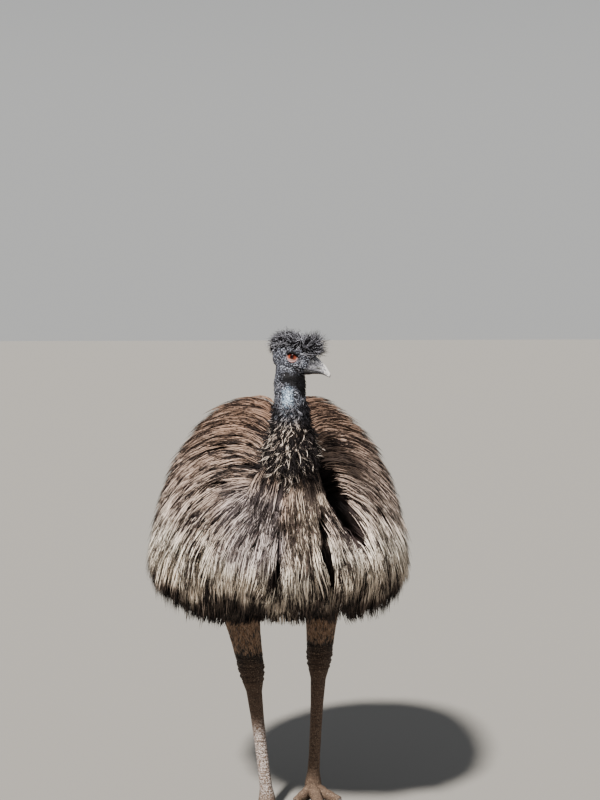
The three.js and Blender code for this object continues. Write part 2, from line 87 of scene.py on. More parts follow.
EYE_RISE = 0.002
HEAD_TURN = 58
HEAD_DIP = 11
BETWEEN_EYES = np.array([0.009, -0.456, 1.320])
BILL_BASE = 0.036
BILL_TIP = 0.097
MOUTH_LINE = np.array([
    [-6, -19.5], [3, -20.3], [20, -21.6], [36, -22.4], [44, -22.4], [52, -22.0], [60, -21.4], [68, -21.0],
    [76, -21.6], [84, -23.6], [90, -25.8], [97, -28.4],
]) / 1000
GOLDEN_ANGLE = math.pi * (3 - math.sqrt(5))
FARTHEST, HALVINGS = 0.9, 16
LOOK_ASIDE = 0.04


def middle(node):
    low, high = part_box(node)
    return (np.array(low) + np.array(high)) / 2


def smoothstep(value, low, high):
    share = np.clip((value - low) / (high - low), 0, 1)
    return share * share * (3 - 2 * share)


def unit(ways):
    return ways / np.maximum(np.linalg.norm(ways, axis=-1, keepdims=True), 1e-9)


head_turn = Matrix.Rotation(math.radians(HEAD_TURN), 3, "Z") @ Matrix.Rotation(math.radians(HEAD_DIP), 3, "X")
FORWARD = np.array(head_turn @ Vector((0, -1, 0)))
LEFTWARD = unit(np.cross((0, 0, 1), FORWARD))
UPWARD = np.cross(FORWARD, LEFTWARD)
HEAD_AXES = np.array([FORWARD, LEFTWARD, UPWARD])
SHIFT = (middle("eye_left") + middle("eye_right")) / 2 - UPWARD * EYE_RISE - BETWEEN_EYES
print("shift from the sizes' origin", SHIFT.round(4))

# %% [markdown]
# ## The plumage's form
# A smooth dome can be described by how wide and long it is at each height. `reach` finds how far its surface
# lies from its middle in any direction by halving a search, so that thousands of feathers can be rooted on it
# at once. `lie` is the way that the feathers point: away from the neck, off the back, and down.

# %% Form and lie
def swell(height, level, up, down):
    """How much of its full size the form has at a height, above and below its widest level."""
    rising = height > level
    share = np.where(rising, (height - level) / (BACK - level), (level - height) / (level - HEM))
    power, root = (np.where(rising, up[k], down[k]) for k in (0, 1))
    return (1 - np.clip(share, 0, 1) ** power) ** root


def inside_plumage(places):
    x, y, z = places.T
    wide = HALF_WIDTH * swell(z, WIDEST, (2, 0.48), (2.2, 0.4))
    ahead = CHEST_REACH * swell(z, CHEST, (2, 0.5), (2, 0.72))
    behind = TAIL_REACH * swell(z, TAIL, (2, 0.5), (2.5, 0.45))
    long = np.where(y < CENTRE[1], ahead, behind)
    across = (np.abs(x) / np.maximum(wide, 1e-6)) ** ROUNDNESS
    around = across + (np.abs(y - CENTRE[1]) / np.maximum(long, 1e-6)) ** ROUNDNESS
    return (around < 1) & (z > HEM) & (z < BACK)


def reach(ways):
    low, high = np.zeros(len(ways)), np.full(len(ways), FARTHEST)
    for _ in range(HALVINGS):
        half = (low + high) / 2
        inside = inside_plumage(CENTRE + ways * half[:, None])
        low = np.where(inside, half, low)
        high = np.where(inside, high, half)
    return low


def coat_at(ways, rise=0.0):
    """Places on the form, or past it by a rise, in directions from its middle."""
    return CENTRE + ways * (reach(ways) + rise)[:, None]


def outward(ways):
    """The way out of the form, square to its surface, from four places round each direction."""
    aside = unit(np.stack([-ways[:, 1], ways[:, 0], np.full(len(ways), 1e-6)], 1))
    over = np.cross(aside, ways)

    def place(way):
        way = unit(way)
        return way * reach(way)[:, None]

    across, along = (place(ways + step * LOOK_ASIDE) - place(ways - step * LOOK_ASIDE)
                     for step in (aside, over))
    out = unit(np.cross(across, along))
    return out * np.sign((out * ways).sum(1, keepdims=True))


def lie(places, outs):
    away = places - NECK_ROOT
    far = np.linalg.norm(away, axis=1)
    way = away / np.maximum(far, 1e-6)[:, None]
    way[:, 2] -= 0.35 + 1.1 * smoothstep(far, 0.1, 0.48)
    way[:, 2] -= 0.50 * smoothstep(places[:, 0], 0.06, 0.18) * smoothstep(-places[:, 1], 0.10, 0.30)
    way[:, 0] += np.sign(places[:, 0]) * 0.55 * smoothstep(places[:, 2], 0.98, 1.17)
    way -= outs * (way * outs).sum(1, keepdims=True)
    return unit(way)


def spread(count):
    """Ways spread evenly over a ball."""
    order = np.arange(count)
    rise = 1 - (2 * order + 1) / count
    ring = np.sqrt(1 - rise**2)
    return np.stack([np.cos(order * GOLDEN_ANGLE) * ring, np.sin(order * GOLDEN_ANGLE) * ring, rise], 1)


test_places = coat_at(spread(2000))
print("form reaches", test_places.min(0).round(3), test_places.max(0).round(3))

# %% [markdown]
# ## Making meshes
# A limb, a bill or a lid is a grid rolled up into a tube and moved through rings of points. A finished piece
# keeps its place in its mesh, rides on the one body, and has smooth faces that point outwards. Values for the
# finish, such as how deep in a fold a point lies, are kept on the mesh by `keep_marks`.

# %% Mesh helpers
def tube(rings, closed=False):
    """A closed form through rings of points, from a grid that is rolled up. A closed one joins end to end."""
    count, sides = rings.shape[:2]
    rows = count if closed else count - 1
    bm = bmesh.new()
    bmesh.ops.create_grid(bm, x_segments=sides, y_segments=rows, size=1)
    for vert in bm.verts:
        i = round((vert.co.y + 1) / 2 * rows) % count
        j = round((vert.co.x + 1) / 2 * sides) % sides
        vert.co = rings[i, j]
    bmesh.ops.remove_doubles(bm, verts=bm.verts, dist=1e-7)
    ends = [edge for edge in bm.edges if edge.is_boundary]
    if ends:
        filled = bmesh.ops.holes_fill(bm, edges=ends, sides=0)["faces"]
        bmesh.ops.poke(bm, faces=filled)
    bmesh.ops.recalc_face_normals(bm, faces=bm.faces)
    return bm


def ball(radius, round_it, up):
    bm = bmesh.new()
    bmesh.ops.create_uvsphere(bm, u_segments=round_it, v_segments=up, radius=radius)
    return bm


def places_of(verts):
    return np.array([vert.co for vert in verts])


def move_to(bm, places):
    for vert, place in zip(bm.verts, places):
        vert.co = place


def as_object(name, bm):
    mesh = bpy.data.meshes.new(name)
    bm.to_mesh(mesh)
    bm.free()
    return linked(name, mesh)


def linked(name, mesh):
    piece = bpy.data.objects.new(name, mesh)
    bpy.context.scene.collection.objects.link(piece)
    return piece


def cut_or_join(piece, others, way):
    """Joins closed forms to a piece, or cuts them out of it, and drops the forms."""
    for other in others:
        tool = as_object("tool", other)
        modifier = piece.modifiers.new("step", "BOOLEAN")
        modifier.operation, modifier.solver, modifier.object = way, "MANIFOLD", tool
        graph = bpy.context.evaluated_depsgraph_get()
        made = bpy.data.meshes.new_from_object(piece.evaluated_get(graph))
        piece.modifiers.clear()
        piece.data = made
        bpy.data.objects.remove(tool)


def keep_marks(mesh, **marks):
    for name, values in marks.items():
        mesh.attributes.new(name, "FLOAT", "POINT").data.foreach_set("value", values.astype(np.float32))


def finished(piece, material, slot, *nodes):
    """Puts a piece in the frame with its finish, and lets it stand for solids."""
    piece.data.transform(Matrix.Translation(SHIFT))
    piece.data.materials.clear()
    piece.data.materials.append(material)
    piece.data.polygons.foreach_set("use_smooth", [True] * len(piece.data.polygons))
    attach(piece, "root")
    if nodes:
        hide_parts(*nodes)


def ring_turns(sides):
    """The turns of the points of a ring."""
    return (np.arange(sides) + 0.5) / sides * 2 * math.pi


def curve_through(stops, shares):
    """Values along a smooth course through evenly shared stops, by a cubic through each four of them."""
    stops = np.array(stops, float)
    stops = np.vstack([2 * stops[:1] - stops[1:2], stops, 2 * stops[-1:] - stops[-2:-1]])
    at = np.clip(np.asarray(shares) * (len(stops) - 3), 0, len(stops) - 3 - 1e-9)
    i = at.astype(int)
    t = (at - i)[:, None]
    a, b, c, d = (stops[i + k] for k in range(4))
    return 0.5 * (2 * b + (c - a) * t + (2 * a - 5 * b + 4 * c - d) * t**2 + (3 * b - a - 3 * c + d) * t**3)


def course(stops, shares):
    """A course of [x, y, z, half width, half depth], and the ways along it, ahead of it and across it."""
    line, near, back = (curve_through(stops, np.clip(shares + step, 0, 1)) for step in (0, 0.01, -0.01))
    along = unit(near[:, :3] - back[:, :3])
    front = unit(np.cross((1, 0, 0), along))
    return line, along, front, np.cross(along, front)


def head_place(places):
    """From the head's own frame, x ahead, y left and z up between the eyes, to the bird's."""
    return np.asarray(places) @ HEAD_AXES + BETWEEN_EYES


def in_head(places):
    """From the bird's frame to the head's: its x, y and z."""
    return ((places - BETWEEN_EYES) @ HEAD_AXES.T).T


print("head looks towards", FORWARD.round(2))

# %% [markdown]
# ## Partings in the coat
# The long plumage parts in three clefts: a deep one between the breast and the left shoulder, and two
# small ones low on the breast. Each is a line on the coat's form with a width. Most feathers end at its edge,
# and the few that cross it sink with the skin at its bottom. Both are painted near black there, as painted
# shade in the cleft. `parted` is 1 in the middle of a cleft and 0 outside it.

# %% Partings
PARTINGS = [
    {"wide": 0.042, "line": [(0.070, -0.320, 1.070), (0.098, -0.350, 1.015), (0.130, -0.368, 0.960),
                             (0.164, -0.360, 0.905), (0.202, -0.335, 0.855)]},
    {"wide": 0.019, "line": [(0.082, -0.410, 0.925), (0.092, -0.420, 0.850), (0.108, -0.400, 0.775),
                             (0.126, -0.340, 0.705)]},
    {"wide": 0.013, "line": [(-0.034, -0.423, 0.880), (-0.040, -0.425, 0.800), (-0.039, -0.370, 0.710),
                             (-0.040, -0.300, 0.640)]},
]
CLEFT_SINK = 0.030
CLEFT_POINTS = 30
CLEFT_BOX = 0.25


def parted(places):
    shape = places.shape[:-1]
    places = coat_at(unit(places.reshape(-1, 3) - CENTRE))
    share = np.zeros(len(places))
    for parting in PARTINGS:
        line = curve_through(parting["line"], np.linspace(0, 1, CLEFT_POINTS))
        close = np.all(np.abs(places - line.mean(0)) < CLEFT_BOX, axis=1)
        far = np.linalg.norm(places[close][:, None] - line[None], axis=2)
        along = np.clip((far.argmin(1) + 3) / (CLEFT_POINTS + 5), 0, 1)
        wide = parting["wide"] * np.sin(math.pi * along) ** 0.6
        inside = 1 - smoothstep(far.min(1), wide * 0.75, wide * 1.25 + 1e-4)
        share[close] = np.maximum(share[close], inside)
    return share.reshape(shape)


# %% [markdown]
# ## Finishes: helpers for nodes
# Each finish is a short network. `add` makes one node and joins what it is given, and `paint` turns a colour
# read on a screen into the linear values that a shader needs. `ease`, `fade` and `band` make soft
# masks, and `tint` turns a colour towards another where a mask is 1. `effect` starts a group with named
# sockets, so that skin and plumage can share the same markings.

# %% Node helpers
def add(tree, kind, sockets=(), **settings):
    made = tree.nodes.new(kind)
    for name, value in settings.items():
        setattr(made, name, value)
    for name, value in dict(sockets).items():
        if isinstance(value, bpy.types.NodeSocket):
            tree.links.new(value, made.inputs[name])
        else:
            made.inputs[name].default_value = value
    return made


def reckon(tree, operation, *values):
    return add(tree, "ShaderNodeMath", enumerate(values), operation=operation).outputs[0]


def times(tree, first, *others):
    for other in others:
        first = reckon(tree, "MULTIPLY", first, other)
    return first


def plus(tree, value, more, share):
    """A value with a share of another added."""
    return reckon(tree, "MULTIPLY_ADD", more, share, value)


def mixed(tree, share, first, second, way="MIX"):
    sockets = {0: share, 6: first, 7: second}
    return add(tree, "ShaderNodeMix", sockets, data_type="RGBA", blend_type=way).outputs[2]


def paint(red, green, blue):
    linear = [((value / 255 + 0.055) / 1.055) ** 2.4 for value in (red, green, blue)]
    return (*linear, 1.0)


def tint(tree, colour, mask, strength, *other):
    return mixed(tree, times(tree, mask, strength), colour, paint(*other))


def ease(tree, value, low, high):
    """From 0 at low to 1 at high, softly."""
    sockets = {"Value": value, "From Min": low, "From Max": high}
    return add(tree, "ShaderNodeMapRange", sockets, interpolation_type="SMOOTHSTEP").outputs[0]


def fade(tree, value, low, high):
    """From 1 at low to 0 at high, softly."""
    return reckon(tree, "SUBTRACT", 1.0, ease(tree, value, low, high))


def band(tree, value, low, full, still, high):
    """1 between full and still, and 0 below low and above high."""
    return reckon(tree, "SUBTRACT", ease(tree, value, low, full), ease(tree, value, still, high))


def noise(tree, place, scale, detail=2.0):
    sockets = {"Vector": place, "Scale": scale, "Detail": detail}
    return add(tree, "ShaderNodeTexNoise", sockets).outputs["Fac"]


def swing(tree, place, scale, detail=2.0):
    """Noise about zero."""
    return reckon(tree, "SUBTRACT", noise(tree, place, scale, detail), 0.5)


def ramp(tree, value, *stops):
    """Colours for values, through stops of a value and a red, green and blue."""
    made = add(tree, "ShaderNodeValToRGB", {"Fac": value})
    elements = made.color_ramp.elements
    while len(elements) < len(stops):
        elements.new(0.5)
    for element, (at, *colour) in zip(elements, stops):
        element.position = at
        element.color = paint(*colour)
    return made.outputs["Color"]


def effect(name, inputs, outputs):
    """An empty group with named sockets: returns it with its input and output nodes."""
    tree = bpy.data.node_groups.new(name, "ShaderNodeTree")
    for way, sockets in (("INPUT", inputs), ("OUTPUT", outputs)):
        for socket in sockets:
            kind = "NodeSocketColor" if socket == "Color" else "NodeSocketFloat"
            tree.interface.new_socket(name=socket, in_out=way, socket_type=kind)
    return tree, tree.nodes.new("NodeGroupInput").outputs, tree.nodes.new("NodeGroupOutput").inputs


def place_of(tree):
    return add(tree, "ShaderNodeTexCoord").outputs["Object"]


def axes_of(tree, place):
    return add(tree, "ShaderNodeSeparateXYZ", {"Vector": place}).outputs


def attribute(tree, name):
    return add(tree, "ShaderNodeAttribute", attribute_name=name).outputs["Fac"]


def material(name, roughness, specular=0.5):
    made = bpy.data.materials.new(name)
    made.use_nodes = True
    shader = made.node_tree.nodes["Principled BSDF"]
    shader.inputs["Roughness"].default_value = roughness
    shader.inputs["Specular IOR Level"].default_value = specular
    return made, made.node_tree, shader


def bumped(tree, shader, height, depth):
    made = add(tree, "ShaderNodeBump", {"Height": height, "Distance": depth, "Strength": 1.0})
    tree.links.new(made.outputs["Normal"], shader.inputs["Normal"])


# %% [markdown]
# ## The markings of the plumage
# An emu's loose feathers are rufous brown on its back, grey brown on its flanks, cream and grey low on its
# front, and nearly black at their tips, at the hem and round the neck's base. Two ramps over the height give
# the dark and the light strands, and `Tone`, which differs from strand to strand, chooses between them. The
# breast has a mauve grey region on its right and a cream one in its middle. A tone below 0 marks a strand
# pressed down in a cleft, which is painted black as the cleft's shade. The group reads places on the bird, so
# that the skin below shows the same markings.

# %% Plumage markings
NIGHT = 15, 11, 11
COLLAR_MIDDLE = 0.0, -0.40, 1.09
markings, given, result = effect("plumage markings", ["Along", "Tone"], ["Color"])
tree, along, tone = markings, given["Along"], given["Tone"]
where = place_of(tree)
side_at, depth_at, height_at = axes_of(tree, where)
cloud = swing(tree, where, 14.0, 3.0)
level = plus(tree, height_at, cloud, 0.20)
level = plus(tree, level, fade(tree, reckon(tree, "ABSOLUTE", side_at), 0.03, 0.08), 0.05)
level = plus(tree, level, reckon(tree, "SUBTRACT", tone, 0.4), 0.05)
rise = add(tree, "ShaderNodeMapRange", {"Value": level, "From Min": 0.52, "From Max": 1.22}).outputs[0]
dark = ramp(tree, rise, (0.00, 10, 8, 8), (0.22, 20, 16, 16), (0.36, 64, 54, 51), (0.52, 48, 40, 39),
            (0.70, 42, 35, 33), (1.00, 42, 30, 25))
light = ramp(tree, rise, (0.00, 50, 42, 39), (0.19, 80, 68, 62), (0.245, 144, 127, 115),
             (0.30, 248, 230, 208), (0.42, 255, 244, 228), (0.50, 240, 222, 207), (0.60, 206, 184, 170),
             (0.70, 190, 166, 151), (0.84, 156, 129, 112), (1.00, 126, 99, 83))
light = tint(tree, light, ease(tree, depth_at, -0.02, 0.26), 0.75, 148, 119, 99)
breast = times(tree, band(tree, height_at, 0.73, 0.82, 0.93, 1.02), fade(tree, depth_at, -0.32, -0.24))
wander = plus(tree, side_at, cloud, 0.10)
mauve = times(tree, band(tree, wander, -0.19, -0.13, -0.03, -0.01), breast)
light = tint(tree, light, mauve, 0.75, 214, 201, 199)
dark = tint(tree, dark, mauve, 0.60, 104, 94, 95)
cream = times(tree, band(tree, wander, -0.01, 0.02, 0.075, 0.10), breast)
light = tint(tree, light, cream, 0.80, 255, 236, 214)
dark = tint(tree, dark, cream, 0.60, 130, 113, 104)
choice = plus(tree, tone, swing(tree, where, 160.0, 1.0), 0.40)
choice = plus(tree, choice, swing(tree, where, 34.0), 0.85)
choice = plus(tree, choice, band(tree, level, 0.66, 0.74, 0.84, 0.93), 0.08)
feather = mixed(tree, ease(tree, choice, 0.38, 0.62), dark, light)
dark_tip = reckon(tree, "MULTIPLY_ADD", fade(tree, level, 0.60, 0.74), 0.62, 0.33)
feather = tint(tree, feather, ease(tree, along, 0.66, 0.98), dark_tip, *NIGHT)
# A tone below 0, a strand in a cleft, is painted black: painted shade.
feather = mixed(tree, ease(tree, times(tree, tone, -1.0), 0.0, 0.9), feather, paint(*NIGHT))
collar_gap = add(tree, "ShaderNodeVectorMath", {0: where, 1: COLLAR_MIDDLE}, operation="DISTANCE")
from_collar = collar_gap.outputs["Value"]
collar = fade(tree, plus(tree, from_collar, cloud, 0.08), 0.075, 0.120)
feather = tint(tree, feather, collar, 0.50, 24, 21, 22)
tree.links.new(feather, result["Color"])


def marked(tree, along, tone):
    return add(tree, "ShaderNodeGroup", {"Along": along, "Tone": tone}, node_tree=markings).outputs["Color"]


print("markings use", len(markings.nodes), "nodes")

# %% [markdown]
# ## Scales and speckles
# The shanks and toes are covered with small horny scales with dark lines between them. A Voronoi pattern
# gives both their domes and the lines. Speckles break up every plain colour, on skin, horn and legs alike.

# %% Scale and speckle groups
scales, given, result = effect("horny scales", ["Scale"], ["Height", "Line"])
cells = {"Vector": place_of(scales), "Scale": given["Scale"]}
dome = add(scales, "ShaderNodeTexVoronoi", cells).outputs["Distance"]
border = add(scales, "ShaderNodeTexVoronoi", cells, feature="DISTANCE_TO_EDGE").outputs["Distance"]
scales.links.new(reckon(scales, "SUBTRACT", 1.0, dome), result["Height"])
scales.links.new(fade(scales, border, 0.0, 0.12), result["Line"])

speckles, given, result = effect("speckles", ["Scale", "Spread"], ["Mask"])
grains = noise(speckles, place_of(speckles), given["Scale"])
above = reckon(speckles, "SUBTRACT", grains, given["Spread"])
speckles.links.new(ease(speckles, above, 0.0, 0.08), result["Mask"])


def speckled(tree, scale, spread):
    values = {"Scale": scale, "Spread": spread}
    return add(tree, "ShaderNodeGroup", values, node_tree=speckles).outputs["Mask"]


# %% [markdown]
# ## The skin's finish
# Under the coat the skin takes the plumage's own markings with a dark tone, as painted shade under the
# feathers. Bare skin shows bluish grey on the neck and face, buff above the hocks, blackish over the hocks
# and grey brown down the shanks. The regions follow height, with three that also follow the side: a pale blue
# patch on the neck's front, a painted black shadow on the throat under the bill, and pale dust on the right
# shank. `fold` darkens scute edges, hock creases, the clefts, the mouth, the ear and the lids as
# painted shade, and `pink` marks the lower lids; both are kept on the mesh.

# %% Skin finish
skin_look, tree, shader = material("emu skin", 0.62, 0.10)
where = place_of(tree)
side_at, depth_at, height_at = axes_of(tree, where)
wavy = plus(tree, height_at, swing(tree, where, 30.0), 0.05)
leg = ramp(tree, add(tree, "ShaderNodeMapRange", {"Value": wavy, "From Max": 0.6}).outputs[0],
           (0.00, 82, 67, 56), (0.16, 102, 83, 69), (0.45, 94, 75, 63), (0.60, 80, 63, 52),
           (0.69, 58, 45, 38), (0.73, 32, 26, 23), (0.775, 24, 20, 18), (0.80, 104, 80, 62),
           (1.00, 98, 75, 58))
dusty = times(tree, band(tree, wavy, 0.02, 0.08, 0.20, 0.28), fade(tree, side_at, 0.02, 0.06),
              ease(tree, noise(tree, where, 300.0, 4.0), 0.45, 0.57))
leg = tint(tree, leg, dusty, 0.82, 188, 182, 180)
leg = tint(tree, leg, ease(tree, noise(tree, where, 170.0, 3.0), 0.50, 0.66), 0.55, 48, 39, 34)
leg = tint(tree, leg, speckled(tree, 300.0, 0.56), 0.5, 150, 130, 112)
scaled = add(tree, "ShaderNodeGroup", {"Scale": 330.0}, node_tree=scales).outputs
leg = tint(tree, leg, scaled["Line"], 0.6, 38, 31, 27)
peppered = noise(tree, where, 330.0)
grey = ramp(tree, peppered, (0.36, 15, 14, 17), (0.50, 38, 38, 44), (0.58, 94, 97, 107),
            (0.68, 152, 157, 168))
pale = ramp(tree, peppered, (0.34, 48, 53, 62), (0.46, 96, 112, 130), (0.55, 160, 180, 200),
            (0.66, 206, 222, 236))
patch = times(tree, band(tree, wavy, 1.175, 1.205, 1.225, 1.255), fade(tree, depth_at, -0.4985, -0.489),
              fade(tree, side_at, -0.012, 0.004))
blue = mixed(tree, speckled(tree, 420.0, 0.58), mixed(tree, patch, grey, pale), paint(22, 21, 24))
# The body's skin takes the markings with a dark tone: painted shade under the coat.
colour = mixed(tree, ease(tree, wavy, 0.585, 0.615), leg, marked(tree, 0.3, 0.05))
colour = mixed(tree, ease(tree, wavy, 1.13, 1.19), colour, blue)
colour = mixed(tree, attribute(tree, "pink"), colour, paint(196, 150, 146))
# Painted shadow: the throat under the jaw is painted near black.
below_jaw = ease(tree, plus(tree, wavy, side_at, 0.6), 1.236, 1.250)
throat_shadow = reckon(tree, "SUBTRACT", below_jaw, ease(tree, wavy, 1.276, 1.292))
throat_shadow = times(tree, throat_shadow, ease(tree, side_at, -0.045, -0.020))
colour = tint(tree, colour, throat_shadow, 0.96, 7, 6, 7)
# Painted shade in folds, creases, clefts, the mouth, the ear and round the lids, and dark scute edges.
colour = mixed(tree, attribute(tree, "fold"), colour, paint(5, 4, 4))
tree.links.new(colour, shader.inputs["Base Color"])
fine = times(tree, noise(tree, where, 900.0, 1.0), 0.5)
bumped(tree, shader, plus(tree, fine, scaled["Height"], fade(tree, height_at, 0.40, 0.46)), 0.0011)

# %% [markdown]
# ## Body and neck skin
# The body's skin is a ball pushed out to a little less than the coat's own form, and deeper still in the
# clefts. The neck is a tube through the solids' stops, slimmer at its base, where the coat is deep.

# %% Body and neck forms
BALL_ROUND, BALL_UP = 112, 72
NECK = [
    [0, -0.296, 0.955, 0.074, 0.078], [0, -0.368, 1.035, 0.066, 0.070], [-0.002, -0.420, 1.110, 0.056, 0.058],
    [-0.006, -0.446, 1.180, 0.041, 0.045], [-0.008, -0.450, 1.232, 0.0385, 0.0405],
    [-0.009, -0.447, 1.272, 0.0375, 0.038], [-0.017, -0.441, 1.304, 0.026, 0.028],
]
NECK_ROWS, NECK_SIDES = 110, 72


def neck_rings():
    shares, turn = np.linspace(0, 1, NECK_ROWS), ring_turns(NECK_SIDES)
    line, _, front, across = course(NECK, shares)
    share = shares[:, None]
    rise = 0.0005 * np.sin(share * 95 + 1.3 * np.sin(turn * 2)) + 0.0004 * np.sin(share * 61 + turn)
    wide = (line[:, 3:4] + rise) * np.cos(turn)
    deep = (line[:, 4:5] + rise) * np.sin(turn)
    return line[:, None, :3] + across[:, None] * wide[..., None] + front[:, None] * deep[..., None]


body_form = ball(1, BALL_ROUND, BALL_UP)
ball_ways = unit(places_of(body_form.verts))
ball_places = coat_at(ball_ways)
move_to(body_form, ball_places - ball_ways * (SKIN_DEPTH + CLEFT_SINK * parted(ball_places))[:, None])
skin = as_object("skin", body_form)
cut_or_join(skin, [tube(neck_rings())], "UNION")
print("body and neck", len(skin.data.polygons), "faces")

# %% [markdown]
# ## The head
# The head is a tube of rounded sections. A field of soft rises and hollows, measured from the point between
# the eyes, gives it the brow, the bowl round each eye, the hollow of the lores, the cheek and the ear's
# opening.

# %% Head form
HEAD = np.array([
    [-63, 2, -6, 4], [-56, 18, -26, 20], [-38, 30, -38, 30], [-16, 35, -42, 33], [6, 34, -41, 31],
    [26, 27, -38, 27], [44, 16, -34, 21.5], [60, 9, -31.5, 17], [76, 2, -30, 12.5], [88, -7, -29.5, 8.5],
    [96, -20, -28, 3.5],
]) / 1000
HEAD_ROWS, HEAD_SIDES = 150, 88
SKIN_END = 0.043
SQUARENESS = 2.25
EAR = -0.034, -0.009
FACE = [
    (0.0024, (0.003, 0.0185), (0.016, 0.005)), (-0.0055, (0.001, 0.002), (0.019, 0.015)),
    (-0.0016, (0.025, 0.004), (0.008, 0.007)), (0.0013, (-0.010, -0.023), (0.020, 0.006)),
    (-0.0012, (0.018, -0.029), (0.018, 0.005)), (0.0012, EAR, (0.0075, 0.0085)),
    (-0.0060, EAR, (0.0032, 0.0042)),
]


def head_sections(rows):
    line = curve_through(HEAD, np.linspace(0, 1, rows))
    return (line[:, k:k + 1] for k in range(4))


def bump_at(x, z, at, size):
    return np.exp(-((x - at[0]) / size[0]) ** 2 - ((z - at[1]) / size[1]) ** 2)


def head_skin(x, tops, bottoms, widths, turn):
    """Places round the head's sections, with the rises of the face."""
    aside, upright = (np.sign(part) * np.abs(part) ** (2 / SQUARENESS)
                      for part in (np.cos(turn), np.sin(turn)))
    y, z = widths * aside, (tops + bottoms) / 2 + (tops - bottoms) / 2 * upright
    x = np.broadcast_to(x, y.shape)
    rise = sum(high * bump_at(x, z, at, size) for high, at, size in FACE)
    rise += 0.0004 * np.sin(x * 520 + z * 240) * bump_at(x, z, (-0.020, -0.018), (0.016, 0.012))
    rise *= smoothstep(np.abs(y), 0.006, 0.018)
    return np.stack([x, y + rise * np.cos(turn), z + rise * np.sin(turn)], -1)


lengths, tops, bottoms, widths = head_sections(HEAD_ROWS)
rings = head_skin(lengths, tops, bottoms, widths, ring_turns(HEAD_SIDES))[lengths[:, 0] < SKIN_END]
cut_or_join(skin, [tube(head_place(rings))], "UNION")
print("with the head", len(skin.data.polygons), "faces")

# %% [markdown]
# ## Eye sockets and lids
# Each eye sits in a socket a hair wider than itself. The lids are one ring of skin whose cross-section turns
# round the eye: it comes out of the face, thickens at the rim, and goes back in against the ball. The rim
# follows an almond opening, with the upper lid heavier and drawn down over the eye.

# %% Sockets and lids
LID_SIDES = 120
SOCKET_GAP = 0.0003
LID_OPENING = {"along": 51, "up": 31, "down": 45}
LID_REACH = math.radians(80)
LID_CORNER = 1.8
LID_SKIN = 0.0005
LID_PROFILE = [
    (1.00, -0.0015), (0.75, 0.0010), (0.55, 0.0020), (0.40, 0.0017), (0.28, 0.0026), (0.15, 0.0028),
    (0.05, 0.0023), (0.00, 0.0013), (0.01, 0.0005), (0.12, 0.00035), (0.50, 0.00035), (1.00, -0.0025),
]


def eye_centre(side):
    return head_place([0.0, side * EYE_SIDE, EYE_RISE])


def eye_axes(side):
    """Out of the eye, ahead and up, with the eye looking a little forward."""
    out = unit(LEFTWARD * side + FORWARD * 0.16 + UPWARD * 0.03)
    ahead = unit(FORWARD - out * (FORWARD @ out))
    return out, ahead, np.cross(out, ahead) * side * -1


def on_eye(side, turn, angle, radius):
    out, ahead, up = eye_axes(side)
    ring = ahead * np.cos(turn)[..., None] + up * np.sin(turn)[..., None]
    way = out * np.cos(angle)[..., None] + ring * np.sin(angle)[..., None]
    return eye_centre(side) + way * radius[..., None]


def opening(turn):
    """How far from the eye's axis the lids' rim lies."""
    tall = np.where(np.sin(turn) > 0, LID_OPENING["up"], LID_OPENING["down"])
    across = np.abs(np.cos(turn) / LID_OPENING["along"]) ** LID_CORNER
    return np.radians((across + np.abs(np.sin(turn) / tall) ** LID_CORNER) ** (-1 / LID_CORNER))


def lid_rings(side):
    turn = np.arange(LID_SIDES) / LID_SIDES * 2 * math.pi
    rim = opening(turn)
    heavy = 1 + 0.75 * smoothstep(np.sin(turn), -0.2, 0.6)
    rings = []
    for share, height in LID_PROFILE:
        thick = height * (heavy if height > LID_SKIN else np.ones(LID_SIDES))
        rings.append(on_eye(side, turn, rim + share * (LID_REACH - rim), EYE_RADIUS + thick))
    return np.swapaxes(rings, 0, 1)


for side in (-1, 1):
    socket = ball(EYE_RADIUS + SOCKET_GAP, 48, 32)
    bmesh.ops.translate(socket, vec=Vector(eye_centre(side)), verts=socket.verts)
    cut_or_join(skin, [socket], "DIFFERENCE")
    cut_or_join(skin, [tube(lid_rings(side), closed=True)], "UNION")
print("with sockets and lids", len(skin.data.polygons), "faces")

# %% [markdown]
# ## The mouth, legs and toes
# A thin blade cuts the mouth's line from the gape to the bill. Each leg is one upright tube: soft and thick
# above the hock, wrinkled over it, then a dry shank with a row of overlapping scutes down its front. The toes
# are tubes with scutes on top, and whatever would pass the floor is pressed flat, as a foot's pads are.

# %% Mouth, legs and toes
GAPE = 0.001
BLADE = [(GAPE, 0.00005), (0.006, 0.0003), (0.014, 0.0005), (0.030, 0.0006), (0.046, 0.0006)]
BLADE_HALF_WIDTH = 0.05
SCUTE_STEP, TOE_SCUTE_STEP = 0.0105, 0.0080
SCUTE_RISE, TOE_SCUTE_RISE, FOOT_SCUTE_RISE = 0.0012, 0.0012, 0.0009
FOLD_RISE, SWELL_RISE = 0.0011, 0.0010
LEG_SIDES, TOE_SIDES = 60, 36
LEG_ROW, TOE_ROW = 0.0019, 0.0015
LEG_HEIGHTS = np.concatenate([np.arange(0.0, 0.45, LEG_ROW), np.arange(0.45, LEG_TOP, 0.006)])
LEG_SIZES = np.array([
    [0.000, 0.0215, 0.0235], [0.012, 0.0262, 0.0280], [0.036, 0.0246, 0.0270], [0.070, 0.0180, 0.0210],
    [0.119, 0.0166, 0.0190], [0.191, 0.0174, 0.0196], [0.262, 0.0188, 0.0208], [0.334, 0.0226, 0.0250],
    [0.378, 0.0345, 0.0350], [0.405, 0.0388, 0.0392], [0.447, 0.0386, 0.0394], [0.520, 0.0452, 0.0490],
    [0.615, 0.0600, 0.0670], [0.660, 0.0650, 0.0730],
])
BLUR = np.linspace(-0.016, 0.016, 9)


def mouth_at(x):
    return np.interp(x, MOUTH_LINE[:, 0], MOUTH_LINE[:, 1])


